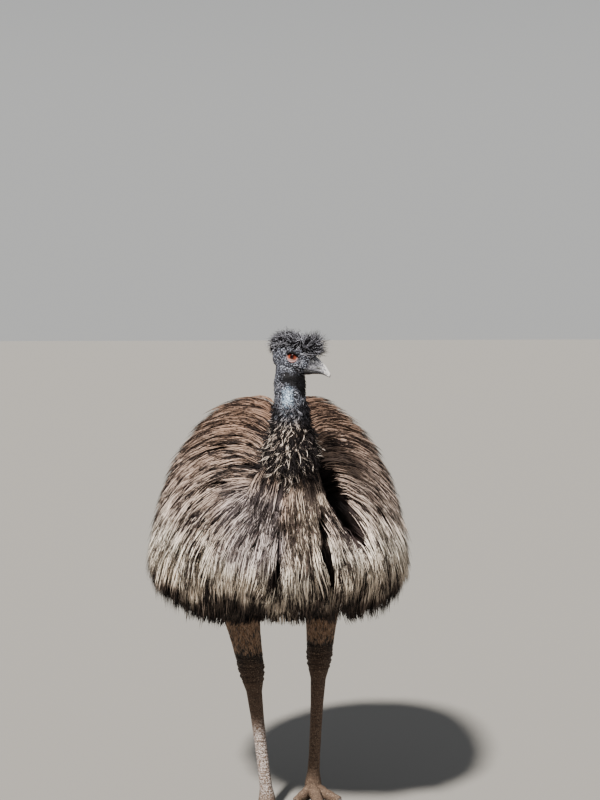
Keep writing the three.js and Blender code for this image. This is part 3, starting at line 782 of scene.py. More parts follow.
def blade():
    corners = [(side * BLADE_HALF_WIDTH, up) for side, up in ((1, -1), (1, 1), (-1, 1), (-1, -1))]
    rings = [[(x, wide, mouth_at(x) + up * thick) for wide, up in corners] for x, thick in BLADE]
    return tube(head_place(np.array(rings)))


def softly(heights, at, values):
    """A course through stops, with its corners rounded."""
    return np.mean([np.interp(heights + step, at, values) for step in BLUR], 0)


def leg_course(leg, heights):
    at = [0, ANKLE, HOCK, 0.615, 0.72]
    over = [leg["top"][k] * 1.5 - leg["hock"][k] * 0.5 for k in (0, 1)]
    stops = [leg["foot"], leg["foot"], leg["hock"], leg["top"], over]
    line = [softly(heights, at, [stop[k] for stop in stops]) for k in (0, 1)]
    return line + [np.interp(heights, LEG_SIZES[:, 0], LEG_SIZES[:, k]) for k in (1, 2)]


def leg_skin(leg, heights, turn, rise=0.0):
    """Places round a leg."""
    x, y, wide, deep = leg_course(leg, heights)
    return np.stack([x + (wide + rise) * np.cos(turn), y - (deep + rise) * np.sin(turn), heights + 0 * turn],
                    -1)


def overlap(along, step):
    """Rises from 0 to 1 over each plate and drops at its edge."""
    return np.mod(along / step, 1.0)


def hock_folds(heights, turn):
    """Where the hock's wrinkled skin lies, and its folds."""
    hock = smoothstep(heights, 0.350, 0.375) * (1 - smoothstep(heights, 0.440, 0.465))
    phase = heights / 0.0015 + 1.3 * np.sin(turn * 2 + heights * 40)
    return hock, np.sin(phase + 1.6 * np.sin(heights * 230 + turn))


def leg_rise(heights, turn):
    front = smoothstep(np.sin(turn), 0.1, 0.62)
    above_foot = smoothstep(heights, 0.05, 0.075)
    shank = above_foot * (1 - smoothstep(heights, 0.365, 0.385))
    rise = SCUTE_RISE * (1 - overlap(heights, SCUTE_STEP)) * front * shank
    hock, folds = hock_folds(heights, turn)
    rise = rise + hock * (FOLD_RISE * folds + SWELL_RISE * np.sin(heights * 330 + turn))
    return rise + (1 - above_foot) * FOOT_SCUTE_RISE * (1 - overlap(heights, TOE_SCUTE_STEP)) * front


def leg_tube(leg):
    heights, turn = LEG_HEIGHTS[:, None], ring_turns(LEG_SIDES)[None]
    return tube(leg_skin(leg, heights, turn, leg_rise(heights, turn)))


def toe_frame(leg, toe):
    """Sideways and ahead for a toe, on the floor."""
    turn = math.radians(leg["side"] * toe["turn"])
    ahead = np.array([math.sin(turn), -math.cos(turn), 0])
    return np.array([-ahead[1], ahead[0], 0]), ahead


def toe_place(leg, toe, places):
    side, ahead = toe_frame(leg, toe)
    across, forward, up = np.moveaxis(np.asarray(places), -1, 0)
    flat = side * across[..., None] + ahead * forward[..., None]
    return flat + np.array([*leg["foot"], 0.0]) + np.stack([0 * up, 0 * up, up], -1)


def toe_tube(leg, toe):
    long, wide = toe["length"], toe["width"]
    sizes = np.array([
        [long + 0.004, 0.0100, 0.42 * wide, 0.0075], [long, 0.0110, 0.66 * wide, 0.0115],
        [long - 0.012, 0.0118, 0.80 * wide, 0.0130], [0.72 * long, 0.0130, 0.86 * wide, 0.0140],
        [0.55 * long, 0.0146, 0.90 * wide, 0.0158], [0.42 * long, 0.0160, 0.95 * wide, 0.0170],
        [0.012, 0.0205, 1.00 * wide, 0.0205], [-0.014, 0.0240, 0.90 * wide, 0.0215],
    ])[::-1]
    forward = np.arange(sizes[0, 0], sizes[-1, 0], TOE_ROW)[:, None]
    centre, wide, deep = (np.interp(forward, sizes[:, 0], sizes[:, k]) for k in (1, 2, 3))
    knuckles = 1 + 0.05 * np.cos(forward / long * 2 * math.pi * 3)
    turn = ring_turns(TOE_SIDES)
    rise = TOE_SCUTE_RISE * overlap(forward, TOE_SCUTE_STEP) * smoothstep(np.sin(turn), 0.15, 0.6)
    rise = rise * smoothstep(forward, 0.004, 0.020)
    across = (wide * knuckles + rise) * np.cos(turn)
    up = centre + (deep * knuckles + rise) * np.sin(turn)
    rings = np.stack([across, np.broadcast_to(forward, across.shape), np.maximum(up, 0)], -1)
    return tube(toe_place(leg, toe, rings))


cut_or_join(skin, [blade()], "DIFFERENCE")
for leg in LEGS.values():
    cut_or_join(skin, [leg_tube(leg)], "UNION")
    cut_or_join(skin, [toe_tube(leg, toe) for toe in TOES.values()], "UNION")
print("with mouth and legs", len(skin.data.polygons), "faces")

# %% [markdown]
# ## Easing the joins, and marking the folds
# Where tubes meet, the skin would show a hard line, so the points near each join are smoothed. Then each
# point is told how deep in a fold, crease or hollow it lies, and the skin's finish paints shade there.

# %% Smooth joins and fold marks
def smooth_near(piece, near, rounds):
    bm = bmesh.new()
    bm.from_mesh(piece.data)
    chosen = [vert for vert, wanted in zip(bm.verts, near(places_of(bm.verts))) if wanted]
    for _ in range(rounds):
        bmesh.ops.smooth_vert(bm, verts=chosen, factor=0.5, use_axis_x=True, use_axis_y=True, use_axis_z=True)
    bm.to_mesh(piece.data)
    bm.free()
    return len(chosen)


def under_the_head(places):
    x, y, z = in_head(places)
    return (z < -0.024) & (z > -0.062) & (x < 0.016)


def round_the_ankles(places):
    near = np.zeros(len(places), bool)
    for leg in LEGS.values():
        far = np.hypot(places[:, 0] - leg["foot"][0], places[:, 1] - leg["foot"][1])
        near |= (far > 0.019) & (far < 0.040) & (places[:, 2] > 0.003) & (places[:, 2] < 0.062)
    return near


print("smoothed", smooth_near(skin, under_the_head, 8), smooth_near(skin, round_the_ankles, 3))

places = places_of(skin.data.vertices)
heights = places[:, 2]
# How much painted shade each point takes: scute edges, hock creases, clefts, mouth, ear and lids.
fold, pink = np.zeros(len(places)), np.zeros(len(places))
for leg in LEGS.values():
    x, y, wide, deep = leg_course(leg, heights)
    turn = np.arctan2(-(places[:, 1] - y) / deep, (places[:, 0] - x) / wide)
    shank = (np.abs(places[:, 0] - x) < 0.05) & (heights > 0.06) & (heights < 0.38)
    edge = smoothstep(overlap(heights, SCUTE_STEP), 0.72, 0.98)
    fold = np.maximum(fold, shank * edge * smoothstep(np.sin(turn), 0.1, 0.5) * 0.35)
    hock, creases = hock_folds(heights, turn)
    fold = np.maximum(fold, (np.abs(places[:, 0] - x) < 0.06) * hock * smoothstep(-creases, 0.1, 0.9) * 0.4)
# Painted shade: the skin at the bottom of the coat's clefts is painted near black.
on_body = (heights > 0.60) & (heights < 1.12) & (np.linalg.norm(places - CENTRE, axis=1) < 0.55)
fold = np.maximum(fold, on_body * parted(places))
x, y, z = in_head(places)
on_head = (np.abs(y) < 0.05) & (np.abs(z) < 0.06) & (x > -0.07)
mouth = np.exp(-(((z - mouth_at(x)) / 0.0019) ** 2)) * smoothstep(x, GAPE - 0.004, GAPE + 0.004)
fold = np.maximum(fold, on_head * np.maximum(mouth, 0.8 * bump_at(x, z, EAR, (0.004, 0.005))))
# Painted shade round the lids, heaviest under the upper lid.
for side in (-1, 1):
    out, ahead, up = eye_axes(side)
    from_eye = places - eye_centre(side)
    far = np.linalg.norm(from_eye, axis=1)
    angle = np.arccos(np.clip(from_eye @ out / far, -1, 1))
    turn = np.arctan2(from_eye @ up, from_eye @ ahead)
    past = angle - opening(turn)
    lids = (far < EYE_RADIUS + 0.007) & (past < 0.75)
    upper = smoothstep(np.sin(turn), -0.05, 0.35)
    fold = np.maximum(fold, lids * (1 - smoothstep(past, 0.10, 0.65)) * (0.25 + 0.75 * upper))
    pink = np.maximum(pink, lids * (1 - smoothstep(past, 0.0, 0.22)) * (1 - upper) * 0.7)
keep_marks(skin.data, fold=fold, pink=pink)
finished(skin, skin_look, "neck_skin", "head", "neck_upper", "neck_lower", "breast", "torso_left",
         "torso_right", "tail", "leg_left", "leg_right", "tarsus_left", "tarsus_right", "foot_left",
         "foot_right")
print("skin", len(places), "points; dark folds on", int((fold > 0.3).sum()))

# %% [markdown]
# ## The bill
# An emu's bill is broad and flat at its base, with a ridge along its top, a round tip and a nostril half way
# along each side. Two closed tubes meet at the mouth's line. Their finish is horn: dark at the base, paler
# and worn at the tip, and paler along the ridge's top, partly wear and partly a painted highlight. Painted
# shade darkens the nostrils, a band along the mouth and the lower bill.

# %% Bill
horn, tree, shader = material("bill horn", 0.36)
where = place_of(tree)
patchy = plus(tree, attribute(tree, "worn"), swing(tree, where, 260.0, 4.0), 1.7)
colour = ramp(tree, patchy, (0.10, 40, 39, 43), (0.42, 66, 66, 71), (0.66, 98, 97, 102),
              (0.85, 138, 137, 139), (1.00, 184, 181, 178))
colour = tint(tree, colour, speckled(tree, 700.0, 0.60), 0.5, 34, 33, 36)
colour = mixed(tree, attribute(tree, "slot"), colour, paint(5, 4, 4))
tree.links.new(colour, shader.inputs["Base Color"])
fine = times(tree, noise(tree, where, 1400.0), 0.3)
bumped(tree, shader, reckon(tree, "ADD", noise(tree, where, 240.0, 3.0), fine), 0.0006)

BILL_ROWS, BILL_SIDES = 110, 100
BILL = np.array([
    [36, 20.5, -35.5, 23.6], [44, 15.8, -33.0, 20.8], [52, 11.6, -30.6, 18.6], [60, 7.6, -28.8, 16.6],
    [68, 3.4, -27.2, 14.7], [76, -2.0, -26.3, 12.4], [84, -8.8, -26.6, 9.8], [90, -14.8, -28.0, 7.0],
    [95, -19.6, -31.0, 4.8], [97, -23.0, -32.0, 2.8],
]) / 1000
BILL_LINE = curve_through(BILL, np.linspace(0, 1, 400))
LOWER_SHORTER, LOWER_SLIMMER = 0.0050, 0.0008
MOUTH_HALF_GAP = 0.0005
LEAST_THICK = {"upper": 0.0012, "lower": 0.0008}
NOSTRIL = {"at": (0.0700, 0.0138, -0.0112), "size": (0.0066, 0.0046, 0.0023),
           "shade": (0.0080, 0.009, 0.0038)}
MOUTH_SHADE = 0.0024


def bill_half(upper):
    x = np.linspace(BILL_BASE, BILL_TIP - (0 if upper else LOWER_SHORTER), BILL_ROWS)[:, None]
    top, bottom, wide = (np.interp(x, BILL_LINE[:, 0], BILL_LINE[:, k]) for k in (1, 2, 3))
    turn = ring_turns(BILL_SIDES)
    plane = mouth_at(x) + (MOUTH_HALF_GAP if upper else -MOUTH_HALF_GAP)
    y = (wide - (0 if upper else LOWER_SLIMMER)) * np.sign(np.cos(turn)) * np.abs(np.cos(turn)) ** 0.85
    if upper:
        nail = 0.0010 * smoothstep(x, 0.090, BILL_TIP)
        ridge = 0.0012 * np.exp(-((y / 0.0026) ** 2)) * (np.sin(turn) > 0)
        high = np.maximum(top - plane, LEAST_THICK["upper"])
        z = np.where(np.sin(turn) > 0, plane + high * np.abs(np.sin(turn)) ** 0.95 + ridge, plane - nail)
        hollow = 0.0012 * bump_at(x, z, (0.067, -0.008), (0.015, 0.0042))
        hollow = hollow * smoothstep(np.abs(y), 0.004, 0.010)
        y = y - np.sign(y) * hollow
    else:
        low = np.maximum(plane - np.minimum(bottom, plane - LEAST_THICK["lower"]), LEAST_THICK["lower"])
        z = np.where(np.sin(turn) < 0, plane - low * np.abs(np.sin(turn)), plane)
    z = z + np.where(np.abs(np.sin(turn)) < 0.02, 0, 1e-5 * np.sin(turn))
    return tube(head_place(np.stack([np.broadcast_to(x, z.shape), y, z], -1)))


def bill_marks(piece, shade):
    x, y, z = in_head(places_of(piece.data.vertices))
    top = np.interp(x, BILL_LINE[:, 0], BILL_LINE[:, 1])
    # Paler along the ridge's top: partly wear, partly a painted highlight.
    on_ridge = 0.35 * np.exp(-((np.abs(y) / 0.006) ** 2)) * (z > top - 0.004)
    worn = 0.46 + 0.40 * smoothstep(x, 0.058, 0.092) + on_ridge
    worn *= 0.45 + 0.55 * smoothstep(x, 0.038, 0.056)
    # The slot mark is painted shade: in the nostrils, along the mouth's line and over the lower bill.
    near = [(part - at) / size for part, at, size in zip((x, np.abs(y), z), NOSTRIL["at"], NOSTRIL["shade"])]
    nostril = 1 - smoothstep(np.sqrt(sum(part**2 for part in near)), 0.75, 1.1)
    edge = np.exp(-(((z - mouth_at(x)) / MOUTH_SHADE) ** 2)) * (1 - smoothstep(x, 0.082, 0.094))
    slot = np.maximum(np.maximum(nostril, 0.9 * edge), shade * (1 - smoothstep(x, 0.070, 0.092)))
    keep_marks(piece.data, worn=worn, slot=slot)


upper_bill = as_object("upper_bill", bill_half(True))
for side in (-1, 1):
    slit = ball(1, 28, 18)
    places = places_of(slit.verts) * NOSTRIL["size"]
    places[:, 2] -= places[:, 0] * 0.15 + places[:, 0] ** 2 * 40
    move_to(slit, head_place((NOSTRIL["at"] + places) * (1, side, 1)))
    bmesh.ops.recalc_face_normals(slit, faces=slit.faces)
    cut_or_join(upper_bill, [slit], "DIFFERENCE")
lower_bill = as_object("lower_bill", bill_half(False))
# The lower bill takes painted shade by its shade share.
for piece, node, shade in ((upper_bill, "bill_upper", 0.0), (lower_bill, "bill_lower", 0.62)):
    bill_marks(piece, shade)
    finished(piece, horn, "bill", node)
print("bill", [len(piece.data.polygons) for piece in (upper_bill, lower_bill)], "faces")

# %% [markdown]
# ## The eyes
# The eye is a smooth ball with a slightly steeper window over its pupil. The iris is painted by the angle
# from the eye's axis, which is kept on the mesh: black pupil, orange-brown ring, pinkish edge. The upper lid
# shades its top, and a pink band lies along its lower edge. A thin clear coat gives the wet highlight.

# %% Eyes
WINDOW_RISE, WINDOW_WIDE = 0.0006, 0.84
iris_look, tree, shader = material("emu eye", 0.10, 0.12)
shader.inputs["Coat Weight"].default_value = 0.14
shader.inputs["Coat Roughness"].default_value = 0.02
tall = attribute(tree, "tall")
streak = plus(tree, attribute(tree, "away"), swing(tree, place_of(tree), 1500.0), 0.10)
colour = ramp(tree, streak, (0.00, 8, 4, 4), (0.13, 10, 5, 5), (0.19, 64, 26, 21), (0.36, 142, 76, 56),
              (0.52, 184, 116, 92), (0.62, 206, 156, 144), (0.78, 226, 196, 188), (1.00, 200, 166, 160))
shade = ramp(tree, tall, (0.26, 255, 252, 250), (0.48, 226, 196, 186), (0.66, 92, 48, 42))
colour = mixed(tree, 1.0, colour, shade, "MULTIPLY")
colour = tint(tree, colour, fade(tree, tall, 0.20, 0.36), 0.85, 232, 204, 196)
tree.links.new(colour, shader.inputs["Base Color"])
for side, name in ((-1, "right"), (1, "left")):
    eyeball = ball(1, 64, 64)
    out, ahead, up = eye_axes(side)
    ways = unit(places_of(eyeball.verts))
    angle = np.arccos(np.clip(ways[:, 2], -1, 1))
    bulge = EYE_RADIUS - WINDOW_RISE * smoothstep(angle, 0.0, WINDOW_WIDE)
    around = (ways[:, :1] * ahead + ways[:, 1:2] * up + ways[:, 2:] * out) * bulge[:, None]
    move_to(eyeball, around + eye_centre(side))
    bmesh.ops.recalc_face_normals(eyeball, faces=eyeball.faces)
    eye = as_object("eyeball_" + name, eyeball)
    keep_marks(eye.data, away=angle / (math.pi / 2), tall=(ways[:, 1] + 1) / 2)
    finished(eye, iris_look, "eye", "eye_" + name)
print("eyes", len(eye.data.polygons), "faces each")

# %% [markdown]
# ## The claws
# Each toe ends in a stout, blunt claw, higher than it is wide, with a ridge along its top. It grows from
# inside the toe's end. The horn is nearly black, with fine lengthwise grain and a paler worn point.

# %% Claws
CLAW_ROWS, CLAW_SIDES = 40, 32
claw_look, tree, shader = material("claw horn", 0.42)
where = place_of(tree)
colour = ramp(tree, noise(tree, where, 220.0, 4.0), (0.30, 30, 27, 26), (0.55, 58, 52, 48),
              (0.75, 98, 88, 78))
colour = mixed(tree, attribute(tree, "worn"), colour, paint(150, 138, 122))
tree.links.new(colour, shader.inputs["Base Color"])
bumped(tree, shader, noise(tree, where, 520.0, 4.0), 0.0005)
turn = ring_turns(CLAW_SIDES)
ridge = 1 + 0.10 * np.exp(-(((turn - math.pi / 2) / 0.3) ** 2))
for leg_name, leg in LEGS.items():
    for toe_name, toe in TOES.items():
        long, wide = toe["length"], toe["width"]
        stops = [
            [long - 0.008, 0.0110, 0.50 * wide, 0.0092], [long + 0.006, 0.0104, 0.42 * wide, 0.0075],
            [long + 0.0162, 0.0083, 0.28 * wide, 0.0046], [long + CLAW_LENGTH, 0.0048, 0.0009, 0.0009],
        ]
        line = curve_through(stops, np.linspace(0, 1, CLAW_ROWS))
        forward, centre, across, deep = (line[:, k:k + 1] for k in range(4))
        up = np.maximum(centre + deep * ridge * np.sin(turn), 0.0)
        rings = np.stack([across * np.cos(turn), np.broadcast_to(forward, up.shape), up], -1)
        claw = as_object(f"nail_{leg_name}_{toe_name}", tube(toe_place(leg, toe, rings)))
        at = (places_of(claw.data.vertices) - [*leg["foot"], 0.0]) @ toe_frame(leg, toe)[1]
        keep_marks(claw.data, worn=smoothstep(at, long + 0.016, long + CLAW_LENGTH) * 0.7)
        finished(claw, claw_look, "claw", f"claw_{leg_name}_{toe_name}")
print("claws", len(claw.data.polygons), "faces each")

# %% [markdown]
# ## Strands
# An emu's feathers have no hooks to hold their barbs together, so they hang like coarse hair. Each strand
# here is a closed, three-sided sliver that tapers to a point. Hundreds of thousands of faces are quickest
# from arrays: one strand's faces are numbered once, and the numbers are shifted for every other strand.
# `along` and `tone` feed the markings, and each strand's UV patch lies at its root's place on an unwrap of
# the skin.

# %% Making strands
PATCH = 0.003
MOST_FACES = 190000
TAPER = [0, 0.25, 0.6, 0.85, 1], [0.55, 1.0, 0.95, 0.6, 0]


def strand_faces(rings):
    walls = [(3 * i + s, 3 * i + (s + 1) % 3, 3 * i + 3 + (s + 1) % 3, 3 * i + 3 + s)
             for i in range(rings - 1) for s in range(3)]
    last = 3 * (rings - 1)
    return [(0, 2, 1)] + walls + [(last + s, last + (s + 1) % 3, 3 * rings) for s in range(3)]


def tone_of(tones, rings):
    """A tone for each corner, from one for each strand or one for each point of it."""
    tones = np.broadcast_to(tones.reshape(len(tones), -1), (len(tones), rings + 1))
    return np.concatenate([np.repeat(tones[:, :rings], 3, axis=1), tones[:, rings:]], 1).ravel()


def strand_mesh(name, lines, outs, widths, tones, roots_uv):
    """Strands along lines [strand, point, xyz], the last point being the tip."""
    count, points = lines.shape[:2]
    rings = points - 1
    along = unit(np.gradient(lines, axis=1))
    sides = unit(np.cross(outs, along))
    outs = np.cross(along, sides)
    shares = np.linspace(0, 1, points)
    half = (widths[:, None] / 2 * np.interp(shares, *TAPER))[:, :rings, None]
    spot = lines[:, :rings]
    corners = np.stack([spot - sides[:, :rings] * half, spot + sides[:, :rings] * half,
                        spot + outs[:, :rings] * half * 0.9], 2).reshape(count, rings * 3, 3)
    verts = np.concatenate([corners, lines[:, -1:]], 1)
    faces = strand_faces(rings)
    corner_of = np.array([corner for face in faces for corner in face])
    starts = np.cumsum([0] + [len(face) for face in faces])[:-1]
    order = np.arange(count)[:, None]
    mesh = bpy.data.meshes.new(name)
    mesh.vertices.add(count * (rings * 3 + 1))
    mesh.vertices.foreach_set("co", verts.astype(np.float32).ravel())
    mesh.loops.add(count * len(corner_of))
    mesh.loops.foreach_set("vertex_index", (corner_of + order * (rings * 3 + 1)).astype(np.int32).ravel())
    mesh.polygons.add(count * len(faces))
    mesh.polygons.foreach_set("loop_start", (starts + order * len(corner_of)).astype(np.int32).ravel())
    mesh.update(calc_edges=True)
    share_of = np.append(np.repeat(shares[:rings], 3), 1.0)
    keep_marks(mesh, along=np.tile(share_of, count), tone=tone_of(tones, rings))
    across_of = np.append(np.tile([0.0, 1.0, 0.5], rings), 0.5)
    patch = np.stack([share_of, across_of], 1)[corner_of] - 0.5
    uv = roots_uv[:, None] + patch[None] * PATCH
    mesh.uv_layers.new(name="OFBake").data.foreach_set("uv", uv.astype(np.float32).ravel())
    return mesh


def grow(name, look, slot, lines, outs, widths, tones, roots_uv):
    """Strands as few pieces as the face limit allows."""
    if outs.ndim == 2:
        outs = np.repeat(outs[:, None], lines.shape[1], 1)
    triangles = (lines.shape[1] - 2) * 6 + 4
    pieces = math.ceil(len(lines) / (MOST_FACES // triangles))
    for k in range(pieces):
        part = slice(k * len(lines) // pieces, (k + 1) * len(lines) // pieces)
        label = f"{name}_{k + 1}"
        mesh = strand_mesh(label, lines[part], outs[part], widths[part], tones[part], roots_uv[part])
        finished(linked(label, mesh), look, slot)
    print(name, len(lines), "strands in", pieces, "pieces,", len(lines) * triangles, "triangles")


def within(places):
    """Keeps whole patches inside the unwrap."""
    return places * (1 - 2 * PATCH) + PATCH


def ball_uv(ways):
    """An unwrap of a ball that keeps areas: round it, and up its axis."""
    round_it = np.arctan2(ways[:, 0], ways[:, 1]) / (2 * math.pi) + 0.5
    return within(np.stack([round_it, (ways[:, 2] + 1) / 2], 1))


def neck_uv(share, turn):
    return within(np.stack([turn / (2 * math.pi), share], 1))


def along_line(lines, at):
    """Points at given shares (strand, point) of each line."""
    steps = lines.shape[1] - 1
    place = np.clip(at * steps, 0, steps - 1e-6)
    i = place.astype(int)
    t = (place - i)[..., None]
    rows = np.arange(len(lines))[:, None]
    return lines[rows, i] * (1 - t) + lines[rows, i + 1] * t


# %% [markdown]
# ## The plumage's finish
# All strands share one finish. The colour is the markings' own, from the strand's tone and the place along
# it. A feather's barbs shine softly along their length, so the finish is a little glossy, and a fine ripple
# of bump breaks up the highlight.

# %% Plumage finish
plumage, tree, shader = material("loose plumage", 0.50, 0.10)
colour = marked(tree, attribute(tree, "along"), attribute(tree, "tone"))
tree.links.new(colour, shader.inputs["Base Color"])
bumped(tree, shader, noise(tree, place_of(tree), 1500.0, 1.0), 0.0003)

# %% [markdown]
# ## The body's feathers
# Feathers are rooted evenly over the body: more candidates than needed are spread over the ball of
# directions, and as many are kept as the skin's area asks for. Each feather's midline is walked step by step
# down the lie, and rises from the skin to just about the solids' outline. Low on the body it leaves the form
# and hangs. A feather ends at the hem, and most end at a cleft too, while some cross it, more of them near
# the neck.

# %% Feather midlines
FEATHERS = 4500
CANDIDATES = 5
MIDLINE_STEPS = 12
FEATHER_LONG = 0.190, 0.250
FEATHER_LIFT = -0.016, 0.010
ROOT_DEPTH = SKIN_DEPTH - 0.006
NECK_CLEAR = 0.060
HANG_FROM, HANG_TO = 0.74, 0.60
HEM_LOW, HEM_SLOPE, HEM_FRONT = 0.540, 0.224, 0.562
HEM_ROUNDING = [(0.44, 0.64, 0.79, 0.91, 1.0), (0.0, 0.010, 0.030, 0.077, 0.126)]
HEM_RAGGED = 0.022
CROSSING, CROSSING_BY_NECK = 0.30, 0.45
rng = np.random.default_rng(11)


def rooted_ways(count):
    """Directions whose feathers stand evenly on the body's area."""
    ways = unit(spread(count * CANDIDATES) + rng.normal(0, 0.006, (count * CANDIDATES, 3)))
    outs = outward(ways)
    area = reach(ways) ** 2 / np.maximum((outs * ways).sum(1), 0.25)
    picks = np.searchsorted(np.cumsum(area) / area.sum(), (np.arange(count) + 0.5) / count)
    return ways[picks], outs[picks]


def hem_at(places):
    flat = np.maximum(HEM_LOW, HEM_FRONT - HEM_SLOPE * places[:, 1])
    back = np.maximum(places[:, 1] - CENTRE[1], 0) / TAIL_REACH
    edge = ((np.abs(places[:, 0]) / HALF_WIDTH) ** 2.2 + back**2.2) ** (1 / 2.2)
    return flat + np.interp(edge, *HEM_ROUNDING)


def midlines(ways, outs, longs, lifts, swerves):
    """Walks each feather down the lie: returns its points and the coat's outward way at each."""
    points, facing, surface = [coat_at(ways, -ROOT_DEPTH)], [outs], coat_at(ways)
    for step in range(1, MIDLINE_STEPS + 1):
        share = step / MIDLINE_STEPS
        out = outward(unit(surface - CENTRE))
        flow = lie(surface, out)
        flow = unit(flow + np.cross(out, flow) * swerves[:, None])
        hang = smoothstep(-surface[:, 2], -HANG_FROM, -HANG_TO)[:, None]
        move = unit(flow * (1 - hang) + np.array([0, 0, -1.0]) * hang)
        ahead = surface + move * (longs / MIDLINE_STEPS)[:, None]
        way = unit(ahead - CENTRE)
        surface = coat_at(way) * (1 - hang) + ahead * hang
        depth = ROOT_DEPTH + (-lifts - ROOT_DEPTH) * share**0.62
        drop_in = np.where(hang > 0.5, unit(ahead * (1, 1, 0) - CENTRE * (1, 1, 0)), way)
        points.append(surface - drop_in * depth[:, None])
        facing.append(unit(out * (1 - hang) + drop_in * hang))
    return np.stack(points, 1), np.stack(facing, 1)


def first_step(stopped):
    """The first step of each line at which it is stopped, or one past its end."""
    return np.where(stopped.any(1), stopped.argmax(1), MIDLINE_STEPS + 1)


ways, outs = rooted_ways(FEATHERS)
starts = coat_at(ways)
from_neck = np.linalg.norm(starts - NECK_ROOT, axis=1)
clear = (starts[:, 2] > HEM + 0.004) & (from_neck > NECK_CLEAR)
ways, outs, starts, from_neck = (each[clear] for each in (ways, outs, starts, from_neck))
longs = rng.uniform(*FEATHER_LONG, len(ways)) * (0.55 + 0.45 * smoothstep(from_neck, 0.08, 0.30))
under = smoothstep(-outs[:, 2], 0.2, 0.8)
longs *= 1 - 0.62 * under
lifts = rng.uniform(*FEATHER_LIFT, len(ways)) * (1 - 0.5 * under)
lines, facing = midlines(ways, outs, longs, lifts, rng.normal(0, 0.11, len(ways)))
limit = hem_at(lines[:, -1]) + rng.uniform(-HEM_RAGGED, HEM_RAGGED, len(lines))
limit += 0.060 * under * (starts[:, 1] > -0.20)
below = lines[:, :, 2] < limit[:, None]
crossing = CROSSING + CROSSING_BY_NECK * smoothstep(starts[:, 2], 0.97, 1.04)
entered = (parted(lines) > 0.5) & (rng.uniform(0, 1, len(lines)) > crossing)[:, None]
usable = np.clip((np.minimum(first_step(below), first_step(entered)) - 0.5) / MIDLINE_STEPS, 0, 1)
kept = (usable > 0.12) & ~(entered.any(1) & (usable < 0.35))
ways, lines, facing, usable = (each[kept] for each in (ways, lines, facing, usable))
print(len(lines), "feathers; longest", round(float(longs.max()), 3))

# %% [markdown]
# ## From feathers to strands
# Each feather becomes a lock of strands that leave its root together, spread out to the feather's width and
# close again towards the tip. Tone varies a little from feather to feather and more from strand to strand.
# Where a strand crosses a cleft it sinks and is painted black, a painted shade. The breast's strands are
# finer, softer and more wavy.

# %% Body strands
LOCK_HALF_WIDTH = 0.0125
STRAND_SHARES = np.array([0, 0.27, 0.54, 0.79, 1.0])
LOCK_SPREAD = [0, 0.35, 0.7, 1.0], [0.35, 1.0, 0.95, 0.45]
SWAY = 0.0003, 0.0018
RAISED, CROWNED = 0.0027, 0.0020
CLEFT_PAINTED_SHADE = 1.8
COATS = {
    "plumage": {"each": 11, "width": (0.0017, 0.0031), "wave": 1.6, "slot": "body_feathers"},
    "breast_down": {"each": 15, "width": (0.0011, 0.0021), "wave": 3.4, "slot": "breast_feathers"},
}


def locks(lines, facing, usable, each, half_width, tone_each, wave):
    """Strands for feathers: their lines, facing, tones and feather numbers."""
    count = len(lines) * each
    number = np.repeat(np.arange(len(lines)), each)
    start = rng.uniform(0, 0.10, count)
    ragged = np.where(usable[number] < 0.97, 0.14, 0.30)
    end = usable[number] * (1 - ragged * rng.uniform(0, 1, count))
    at = start[:, None] + (end - start)[:, None] * STRAND_SHARES
    middle_line = along_line(lines[number], at)
    out = unit(along_line(facing[number], at))
    side = unit(np.cross(out, unit(np.gradient(middle_line, axis=1))))
    place = np.tile(np.linspace(-1, 1, each), len(lines)) + rng.normal(0, 0.16, count)
    sway = np.sin(at * wave * 2 * math.pi + rng.uniform(0, 2 * math.pi, count)[:, None])
    aside = place[:, None] * half_width * np.interp(at, *LOCK_SPREAD)
    aside = aside + sway * rng.uniform(*SWAY, count)[:, None]
    raised = rng.normal(0, RAISED, count)[:, None] * STRAND_SHARES + (1 - place[:, None] ** 2) * CROWNED
    tones = np.clip(tone_each[number] * 0.55 + rng.uniform(0, 1, count) ** 1.3 * 0.75 - 0.12, 0, 1)
    cleft = parted(middle_line)
    raised = raised - CLEFT_SINK * cleft
    lines = middle_line + side * aside[..., None] + out * raised[..., None]
    # In a cleft the tone drops below 0, which the markings paint black: painted shade.
    return lines, out, tones[:, None] - CLEFT_PAINTED_SHADE * cleft, number


front = lines[:, 4]
soft = (front[:, 1] < -0.22) & (np.abs(front[:, 0]) < 0.19) & (front[:, 2] < 1.02)
feather_tone = rng.uniform(0, 1, len(lines))
for (label, coat), chosen in zip(COATS.items(), (~soft, soft)):
    strands, out, tones, number = locks(lines[chosen], facing[chosen], usable[chosen], coat["each"],
                                        LOCK_HALF_WIDTH, feather_tone[chosen], coat["wave"])
    roots = ball_uv(ways[chosen][number] + rng.normal(0, 0.01, (len(number), 3)))
    grow(label, plumage, coat["slot"], strands, out, rng.uniform(*coat["width"], len(number)), tones, roots)

# %% [markdown]
# ## Neck hair
# Short black feathers like hair cover the neck, thick and shaggy at its base and so thin above that the blue
# skin shows, most of all in front. Their roots are spread up the neck's own tube, and each strand bends down
# and outwards, with a curl towards its tip. Some strands are pale, but on the throat under the jaw hardly any
# are and the rest are darker still, a painted shadow.

# %% Neck strands
NECK_STRANDS = 9000
NECK_LOW, NECK_HIGH = 0.30, 0.99
steps = np.array([0, 0.25, 0.5, 0.75, 1.0])[None, :, None]


def neck_surface(share, turn):
    """Points on the neck's skin, and the way out and up there."""
    line, up, front, across = course(NECK, share)
    cosine, sine = np.cos(turn)[:, None], np.sin(turn)[:, None]
    place = line[:, :3] + across * line[:, 3:4] * cosine + front * line[:, 4:5] * sine
    return place, unit(across * line[:, 4:5] * cosine + front * line[:, 3:4] * sine), up


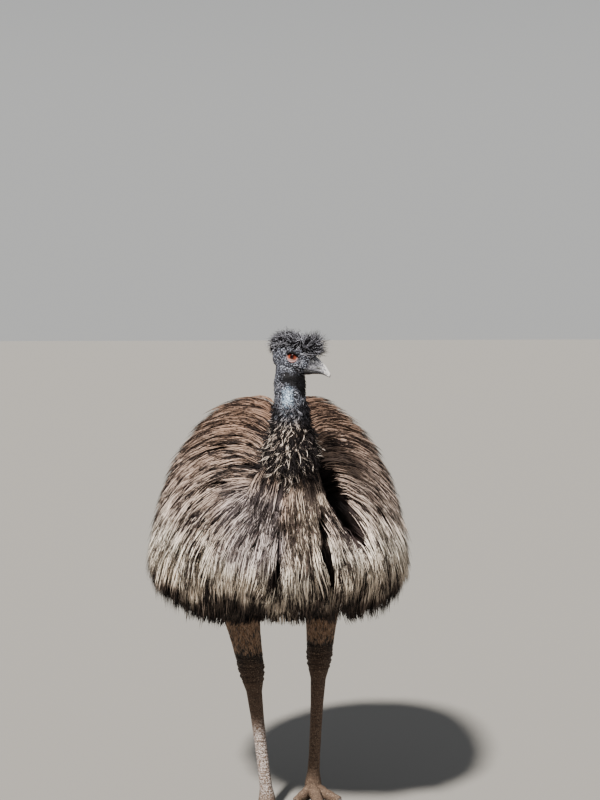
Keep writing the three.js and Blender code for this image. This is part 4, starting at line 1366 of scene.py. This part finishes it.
def two_tones(count, pale_share, pale_range, dark_to, darker=1.0):
    """Tones of which a share is pale and the rest dark."""
    chosen = rng.uniform(0, 1, count) < pale_share
    return np.where(chosen, rng.uniform(*pale_range, count), rng.uniform(0, dark_to, count) * darker)


neck_dark, tree, shader = material("neck hair", 0.52, 0.10)
tone = attribute(tree, "tone")
high = ramp(tree, tone, (0.0, 10, 9, 11), (0.50, 27, 25, 29), (0.62, 96, 94, 102), (1.0, 176, 176, 185))
base = ramp(tree, tone, (0.0, 14, 12, 13), (0.50, 40, 35, 36), (0.62, 158, 140, 130), (1.0, 252, 236, 220))
black = mixed(tree, ease(tree, axes_of(tree, place_of(tree))["Z"], 1.14, 1.18), base, high)
black = tint(tree, black, ease(tree, attribute(tree, "along"), 0.6, 1.0), 0.35, 20, 17, 18)
tree.links.new(black, shader.inputs["Base Color"])

share = NECK_LOW + (NECK_HIGH - NECK_LOW) * rng.uniform(0, 1, NECK_STRANDS) ** 1.1
turn = rng.uniform(0, 2 * math.pi, NECK_STRANDS)
place, out, up = neck_surface(share, turn)
frontal = smoothstep(np.sin(turn), 0.75, 0.99)
bare = smoothstep(place[:, 2], 1.18, 1.21) * (1 - smoothstep(place[:, 2], 1.245, 1.275))
kept = rng.uniform(0, 1, NECK_STRANDS) > bare * frontal * 0.75
share, turn, place, out, up = (each[kept] for each in (share, turn, place, out, up))
count = len(share)
slim = smoothstep(place[:, 2], 1.05, 1.19)
long = (0.047 - 0.037 * slim) * rng.uniform(0.7, 1.3, count)
stand = 0.14 + 0.46 * (1 - slim)
way = unit(out * (stand + rng.normal(0, 0.12, count))[:, None] - up + rng.normal(0, 0.22, out.shape))
side = np.cross(out, way)
curl = rng.normal(0, 0.24, count)
hair = (place - out * 0.003)[:, None] + way[:, None] * long[:, None, None] * steps
hair = hair + side[:, None] * (curl * long)[:, None, None] * np.sin(steps * 5.2)
hair = hair + out[:, None] * (long * (0.05 + 0.10 * (1 - slim)))[:, None, None] * np.sin(steps * 2.6)
# Painted shadow under the jaw: the throat's hairs are darker and hardly any are pale.
throat_shadow = smoothstep(place[:, 2] + 0.6 * place[:, 0], 1.236, 1.250) * smoothstep(place[:, 0], -0.045, -0.020)
pale_share = (0.10 + 0.26 * slim) * (1 - 0.92 * throat_shadow)
tones = two_tones(count, pale_share, (0.66, 1), 0.5, 1 - 0.8 * throat_shadow)
grow("neck_hair", neck_dark, "hair_feathers", hair, out, rng.uniform(0.0010, 0.0017, count), tones,
     neck_uv(share, turn))

# %% [markdown]
# ## Tufts at the neck's base, and the breast's first feathers
# Where the neck meets the body, short shaggy tufts stand off it, black for the most part with cream ones
# between them in front. Each is a small lock that leaves the neck, leans out and flicks up at its tip. Longer
# loose feathers start under them and pour over the breast: each follows one bent course from the neck's skin
# to the coat's form.

# %% Neck tufts and breast plume
TUFTS, TUFT_STRANDS, TUFT_HALF_WIDTH = 1650, 6, 0.0044
PLUMES, PLUME_STRANDS, PLUME_HALF_WIDTH = 260, 9, 0.009
FRONT_AT, FRONT_WIDE = -0.014, 0.021
t = np.linspace(0, 1, MIDLINE_STEPS + 1)[None, :, None]

share = rng.uniform(0.0, 0.60, TUFTS)
turn = rng.uniform(0, 2 * math.pi, TUFTS)
start, out, up = neck_surface(share, turn)
long = rng.uniform(0.022, 0.046, TUFTS) * (1 - 0.5 * smoothstep(start[:, 2], 1.08, 1.17))
long *= 1 + 0.9 * (1 - smoothstep(share, 0.02, 0.20))
leaning_out = rng.normal(0.32, 0.14, TUFTS) + 0.34 * np.abs(np.cos(turn))
way = unit(out * leaning_out[:, None] - up + rng.normal(0, 0.30, out.shape))
side = np.cross(out, way)
weave = rng.normal(0, 0.18, TUFTS)[:, None, None] * np.sin(t * 3.6)
flick = rng.uniform(0.0, 0.34, TUFTS)[:, None, None] * t**2
tuft_lines = (start - out * 0.003)[:, None] + long[:, None, None] * (
    way[:, None] * t + side[:, None] * weave + (out + up)[:, None] * flick)
frontal = np.exp(-(((start[:, 0] - FRONT_AT) / FRONT_WIDE) ** 2)) * (np.sin(turn) > 0)
pale_share = (0.03 + 0.80 * frontal) * smoothstep(share, 0.08, 0.24)
tuft_tone = two_tones(TUFTS, pale_share, (0.68, 0.95), 0.42)
strands, facing, _, number = locks(tuft_lines, np.repeat(out[:, None], MIDLINE_STEPS + 1, 1), np.ones(TUFTS),
                                   TUFT_STRANDS, TUFT_HALF_WIDTH, tuft_tone, 2.2)
tones = two_tones(len(number), 0.52 * (tuft_tone[number] > 0.6), (0.62, 1.0), 0.54)
grow("neck_tufts", neck_dark, "hair_feathers", strands, facing, rng.uniform(0.0008, 0.0014, len(number)),
     tones, neck_uv(share, turn)[number] + rng.normal(0, 0.002, (len(number), 2)))

share = rng.uniform(0.02, 0.24, PLUMES)
turn = rng.uniform(0.12, 0.98, PLUMES) * math.pi
start, out, up = neck_surface(share, turn)
long = rng.uniform(0.080, 0.130, PLUMES)[:, None]
down = unit(out * (1, 1, 0)) * 0.42 + np.array([0, 0, -1.0])
goal_way = unit(start + unit(down + rng.normal(0, 0.13, start.shape)) * long - CENTRE)
goal = coat_at(goal_way, rng.uniform(-0.006, 0.010, PLUMES))
bend = start + out * 0.030 - up * (long * 0.42)
plume_lines = (start - out * 0.004)[:, None] * (1 - t) ** 2 + bend[:, None] * 2 * t * (1 - t)
plume_lines = plume_lines + goal[:, None] * t**2
plume_out = unit(out[:, None] * (1 - t) + outward(goal_way)[:, None] * t)
strands, facing, tones, number = locks(plume_lines, plume_out, np.ones(PLUMES), PLUME_STRANDS,
                                       PLUME_HALF_WIDTH, rng.uniform(-0.25, 0.85, PLUMES), 3.4)
grow("breast_plume", plumage, "breast_feathers", strands, facing, rng.uniform(0.0014, 0.0026, len(number)),
     tones, neck_uv(share, turn)[number] + rng.normal(0, 0.004, (len(number), 2)))

# %% [markdown]
# ## Hair on the head
# The head's feathers are finer still: a thin fuzz over the face, and a shaggy crest in two lobes, one on the
# crown and one over the bill's base. Roots are spread on the head's sections, and the fuzz keeps clear of the
# eyes, the ears, the gape and the bill. Each strand is a bow: it leaves the skin at one angle and bends on
# steadily.

# %% Head strands
HEAD_STRANDS = 12500
FUZZ_LONG, CREST_GAIN = 0.0080, 1.25
CREST_STOPS = np.array([
    [-64, 8], [-52, 22], [-34, 28], [-16, 26], [-2, 23], [10, 19], [22, 34], [30, 38], [38, 27], [46, 14],
]) / 1000
head_lines = np.hstack([*head_sections(400)])


def head_surface(x, turn):
    """Points on the head's skin, in its own frame, and the way out there."""
    lengths, tops, bottoms, _ = head_lines.T
    top, bottom, wide = (np.interp(x, lengths, line) for line in head_lines.T[1:])
    slope = np.interp(x, lengths, np.gradient(tops - bottoms, lengths)) / 2
    out = unit(np.stack([-slope, np.cos(turn), np.sin(turn)], 1))
    return head_skin(x, top, bottom, wide, turn), out


x = rng.uniform(-0.062, 0.043, HEAD_STRANDS)
turn = rng.uniform(0, 2 * math.pi, HEAD_STRANDS)
place, out = head_surface(x, turn)
y, z = place[:, 1], place[:, 2]
line = curve_through(HEAD, np.linspace(0, 1, 200))
top = np.interp(x, line[:, 0], line[:, 1])
crown = smoothstep(z, top - 0.013, top - 0.003) * (np.sin(turn) > 0)
clear = (np.hypot(x / 1.1, z - EYE_RISE) > 0.0170) & (np.hypot(x - EAR[0], z - EAR[1]) > 0.005)
clear &= (x < 0.030) | (z > 0.012)
clear &= ~((x < -0.02) & (z < -0.030) & (np.abs(y) < 0.018))
clear &= np.abs(z - mouth_at(x)) > 0.0034
clear &= rng.uniform(0, 1, HEAD_STRANDS) < 0.62 + 0.38 * crown
place, out, crown, x = (each[clear] for each in (place, out, crown, x))
z, count = place[:, 2], len(place)
crest = crown * np.interp(x, CREST_STOPS[:, 0], CREST_STOPS[:, 1])
long = (FUZZ_LONG + CREST_GAIN * crest) * rng.uniform(0.6, 1.15, count)
brow = (1 - crown) * smoothstep(z, 0.006, 0.016) * smoothstep(x, -0.014, 0.004)
lores = (1 - crown) * smoothstep(x, 0.012, 0.022) * smoothstep(z, -0.016, -0.010)
flow = np.stack([-1.0 + 1.9 * smoothstep(x, 0.004, 0.030) * crown + np.maximum(1.2 * brow, 1.7 * lores),
                 0 * x, -0.3 + 0.5 * crown + 1.3 * np.maximum(brow, 0.7 * lores)], 1)
flow = unit(flow + rng.normal(0, 0.42 + 0.5 * crown[:, None], (count, 3)))
flow = unit(flow - out * (flow * out).sum(1, keepdims=True))
lobe = crown * smoothstep(x, 0.010, 0.022)
bend = ((0.9 + 1.5 * rng.uniform(0, 1, count)) * (1 - 0.15 * crown) * (1 - 0.62 * lobe))[:, None, None]
start_bend = (0.95 - 0.80 * crown + lobe * (0.80 * smoothstep(x, 0.018, 0.044) - 0.40))[:, None, None]
angle = start_bend + bend * steps
risen = (np.sin(angle) - np.sin(start_bend)) / bend
swung = (np.cos(start_bend) - np.cos(angle)) / bend
twirl = np.cross(out, flow)[:, None] * rng.normal(0, 0.20, count)[:, None, None] * np.sin(steps * 5.5)
hair = (place - out * 0.0015)[:, None]
hair = hair + long[:, None, None] * (out[:, None] * risen + flow[:, None] * swung + twirl)
tones = two_tones(count, 0.34 - 0.04 * crown + 0.22 * lores, (0.64, 1), 0.5)
grow("head_hair", neck_dark, "hair_feathers", head_place(hair), out @ HEAD_AXES,
     rng.uniform(0.0009, 0.0016, count) * (1 - 0.15 * crown), tones, ball_uv(unit(place)))

# %% [markdown]
# ## Short feathers above the hocks
# The thighs below the hem are covered with short, flat, buff feathers with dark speckles. They lie straight
# down and end in a ragged edge just above the bare hocks.

# %% Thigh strands
THIGH_STRANDS = 2500
THIGH_LOW, THIGH_HIGH = 0.452, 0.635
LOOK_DOWN = 0.03
thigh_look, tree, shader = material("thigh feathers", 0.6)
colour = ramp(tree, attribute(tree, "tone"), (0.00, 28, 22, 19), (0.24, 48, 37, 31), (0.34, 112, 87, 68),
              (1.00, 142, 114, 91))
colour = tint(tree, colour, ease(tree, attribute(tree, "along"), 0.7, 1.0), 0.35, 84, 62, 48)
tree.links.new(colour, shader.inputs["Base Color"])
for leg_name, leg in LEGS.items():
    z = rng.uniform(THIGH_LOW, THIGH_HIGH, THIGH_STRANDS)
    turn = rng.uniform(0, 2 * math.pi, THIGH_STRANDS)
    place = leg_skin(leg, z, turn)
    down = unit(leg_skin(leg, z - LOOK_DOWN, turn) - place)
    out = np.stack([np.cos(turn), -np.sin(turn), 0 * z], 1)
    out = unit(out - down * (out * down).sum(1, keepdims=True))
    way = unit(down + out * 0.05 + np.cross(out, down) * rng.normal(0, 0.10, (THIGH_STRANDS, 1)))
    long = rng.uniform(0.011, 0.020, THIGH_STRANDS)
    hair = (place - out * 0.001)[:, None] + way[:, None] * long[:, None, None] * steps
    hair = hair + out[:, None] * 0.0008 * np.sin(steps * 3.0)
    uv = np.stack([turn / (2 * math.pi) * 0.48 + (0.5 if leg["side"] > 0 else 0), z], 1)
    tones = rng.uniform(0, 1, THIGH_STRANDS) * smoothstep(z, THIGH_LOW, THIGH_LOW + 0.012)
    grow("thigh_" + leg_name, thigh_look, "leg_skin", hair, out, rng.uniform(0.0018, 0.0032, THIGH_STRANDS),
         tones, uv)

# %% [markdown]
# ## Floor, light and camera
# A plain pale floor and soft light show the bird as in a studio. The main light stands high in front, a
# little to the bird's right, as the sun does in the photograph. The camera looks from the photograph's angle,
# from a little above the bird's eyes, through a long lens.

# %% Floor, light and camera
FLOOR_SIZE = 40
floor_look, tree, shader = material("studio floor", 0.9)
shader.inputs["Base Color"].default_value = paint(120, 117, 112)
floor_form = bmesh.new()
bmesh.ops.create_grid(floor_form, x_segments=1, y_segments=1, size=FLOOR_SIZE)
floor = as_object("floor", floor_form)
floor.data.materials.append(floor_look)

LIGHTS = {
    "key": {"from": (-0.50, -0.85, 1.15), "soft": 5, "power": 12.6, "colour": (1.0, 0.965, 0.91)},
    "fill": {"from": (1.0, -0.8, 0.35), "soft": 60, "power": 0.35, "colour": (0.90, 0.95, 1.0)},
}
for name, light in LIGHTS.items():
    lamp = bpy.data.lights.new(name, "SUN")
    lamp.angle = math.radians(light["soft"])
    lamp.energy = light["power"]
    lamp.color = light["colour"]
    linked(name, lamp).rotation_euler = Vector(light["from"]).to_track_quat("Z", "Y").to_euler()

LOW_AIR, HIGH_AIR = (0.56, 0.56, 0.55, 1.0), (0.30, 0.32, 0.35, 1.0)
world = bpy.data.worlds.new("studio air")
world.use_nodes = True
tree = world.node_tree
ray = add(tree, "ShaderNodeTexCoord").outputs["Generated"]
air = mixed(tree, ease(tree, axes_of(tree, ray)["Z"], 0.10, 0.45), LOW_AIR, HIGH_AIR)
tree.links.new(air, tree.nodes["Background"].inputs["Color"])
bpy.context.scene.world = world

CAMERA_FROM = -0.304, -4.119, 1.485
CAMERA_DIP, CAMERA_TURN = 4.2, -5
lens = bpy.data.cameras.new("view")
lens.lens = 67.5
lens.sensor_width = 36
camera = linked("view", lens)
camera.location = Vector(SHIFT) + Vector(CAMERA_FROM)
camera.rotation_euler = (math.radians(90 - CAMERA_DIP), 0, math.radians(CAMERA_TURN))
bpy.context.scene.camera = camera
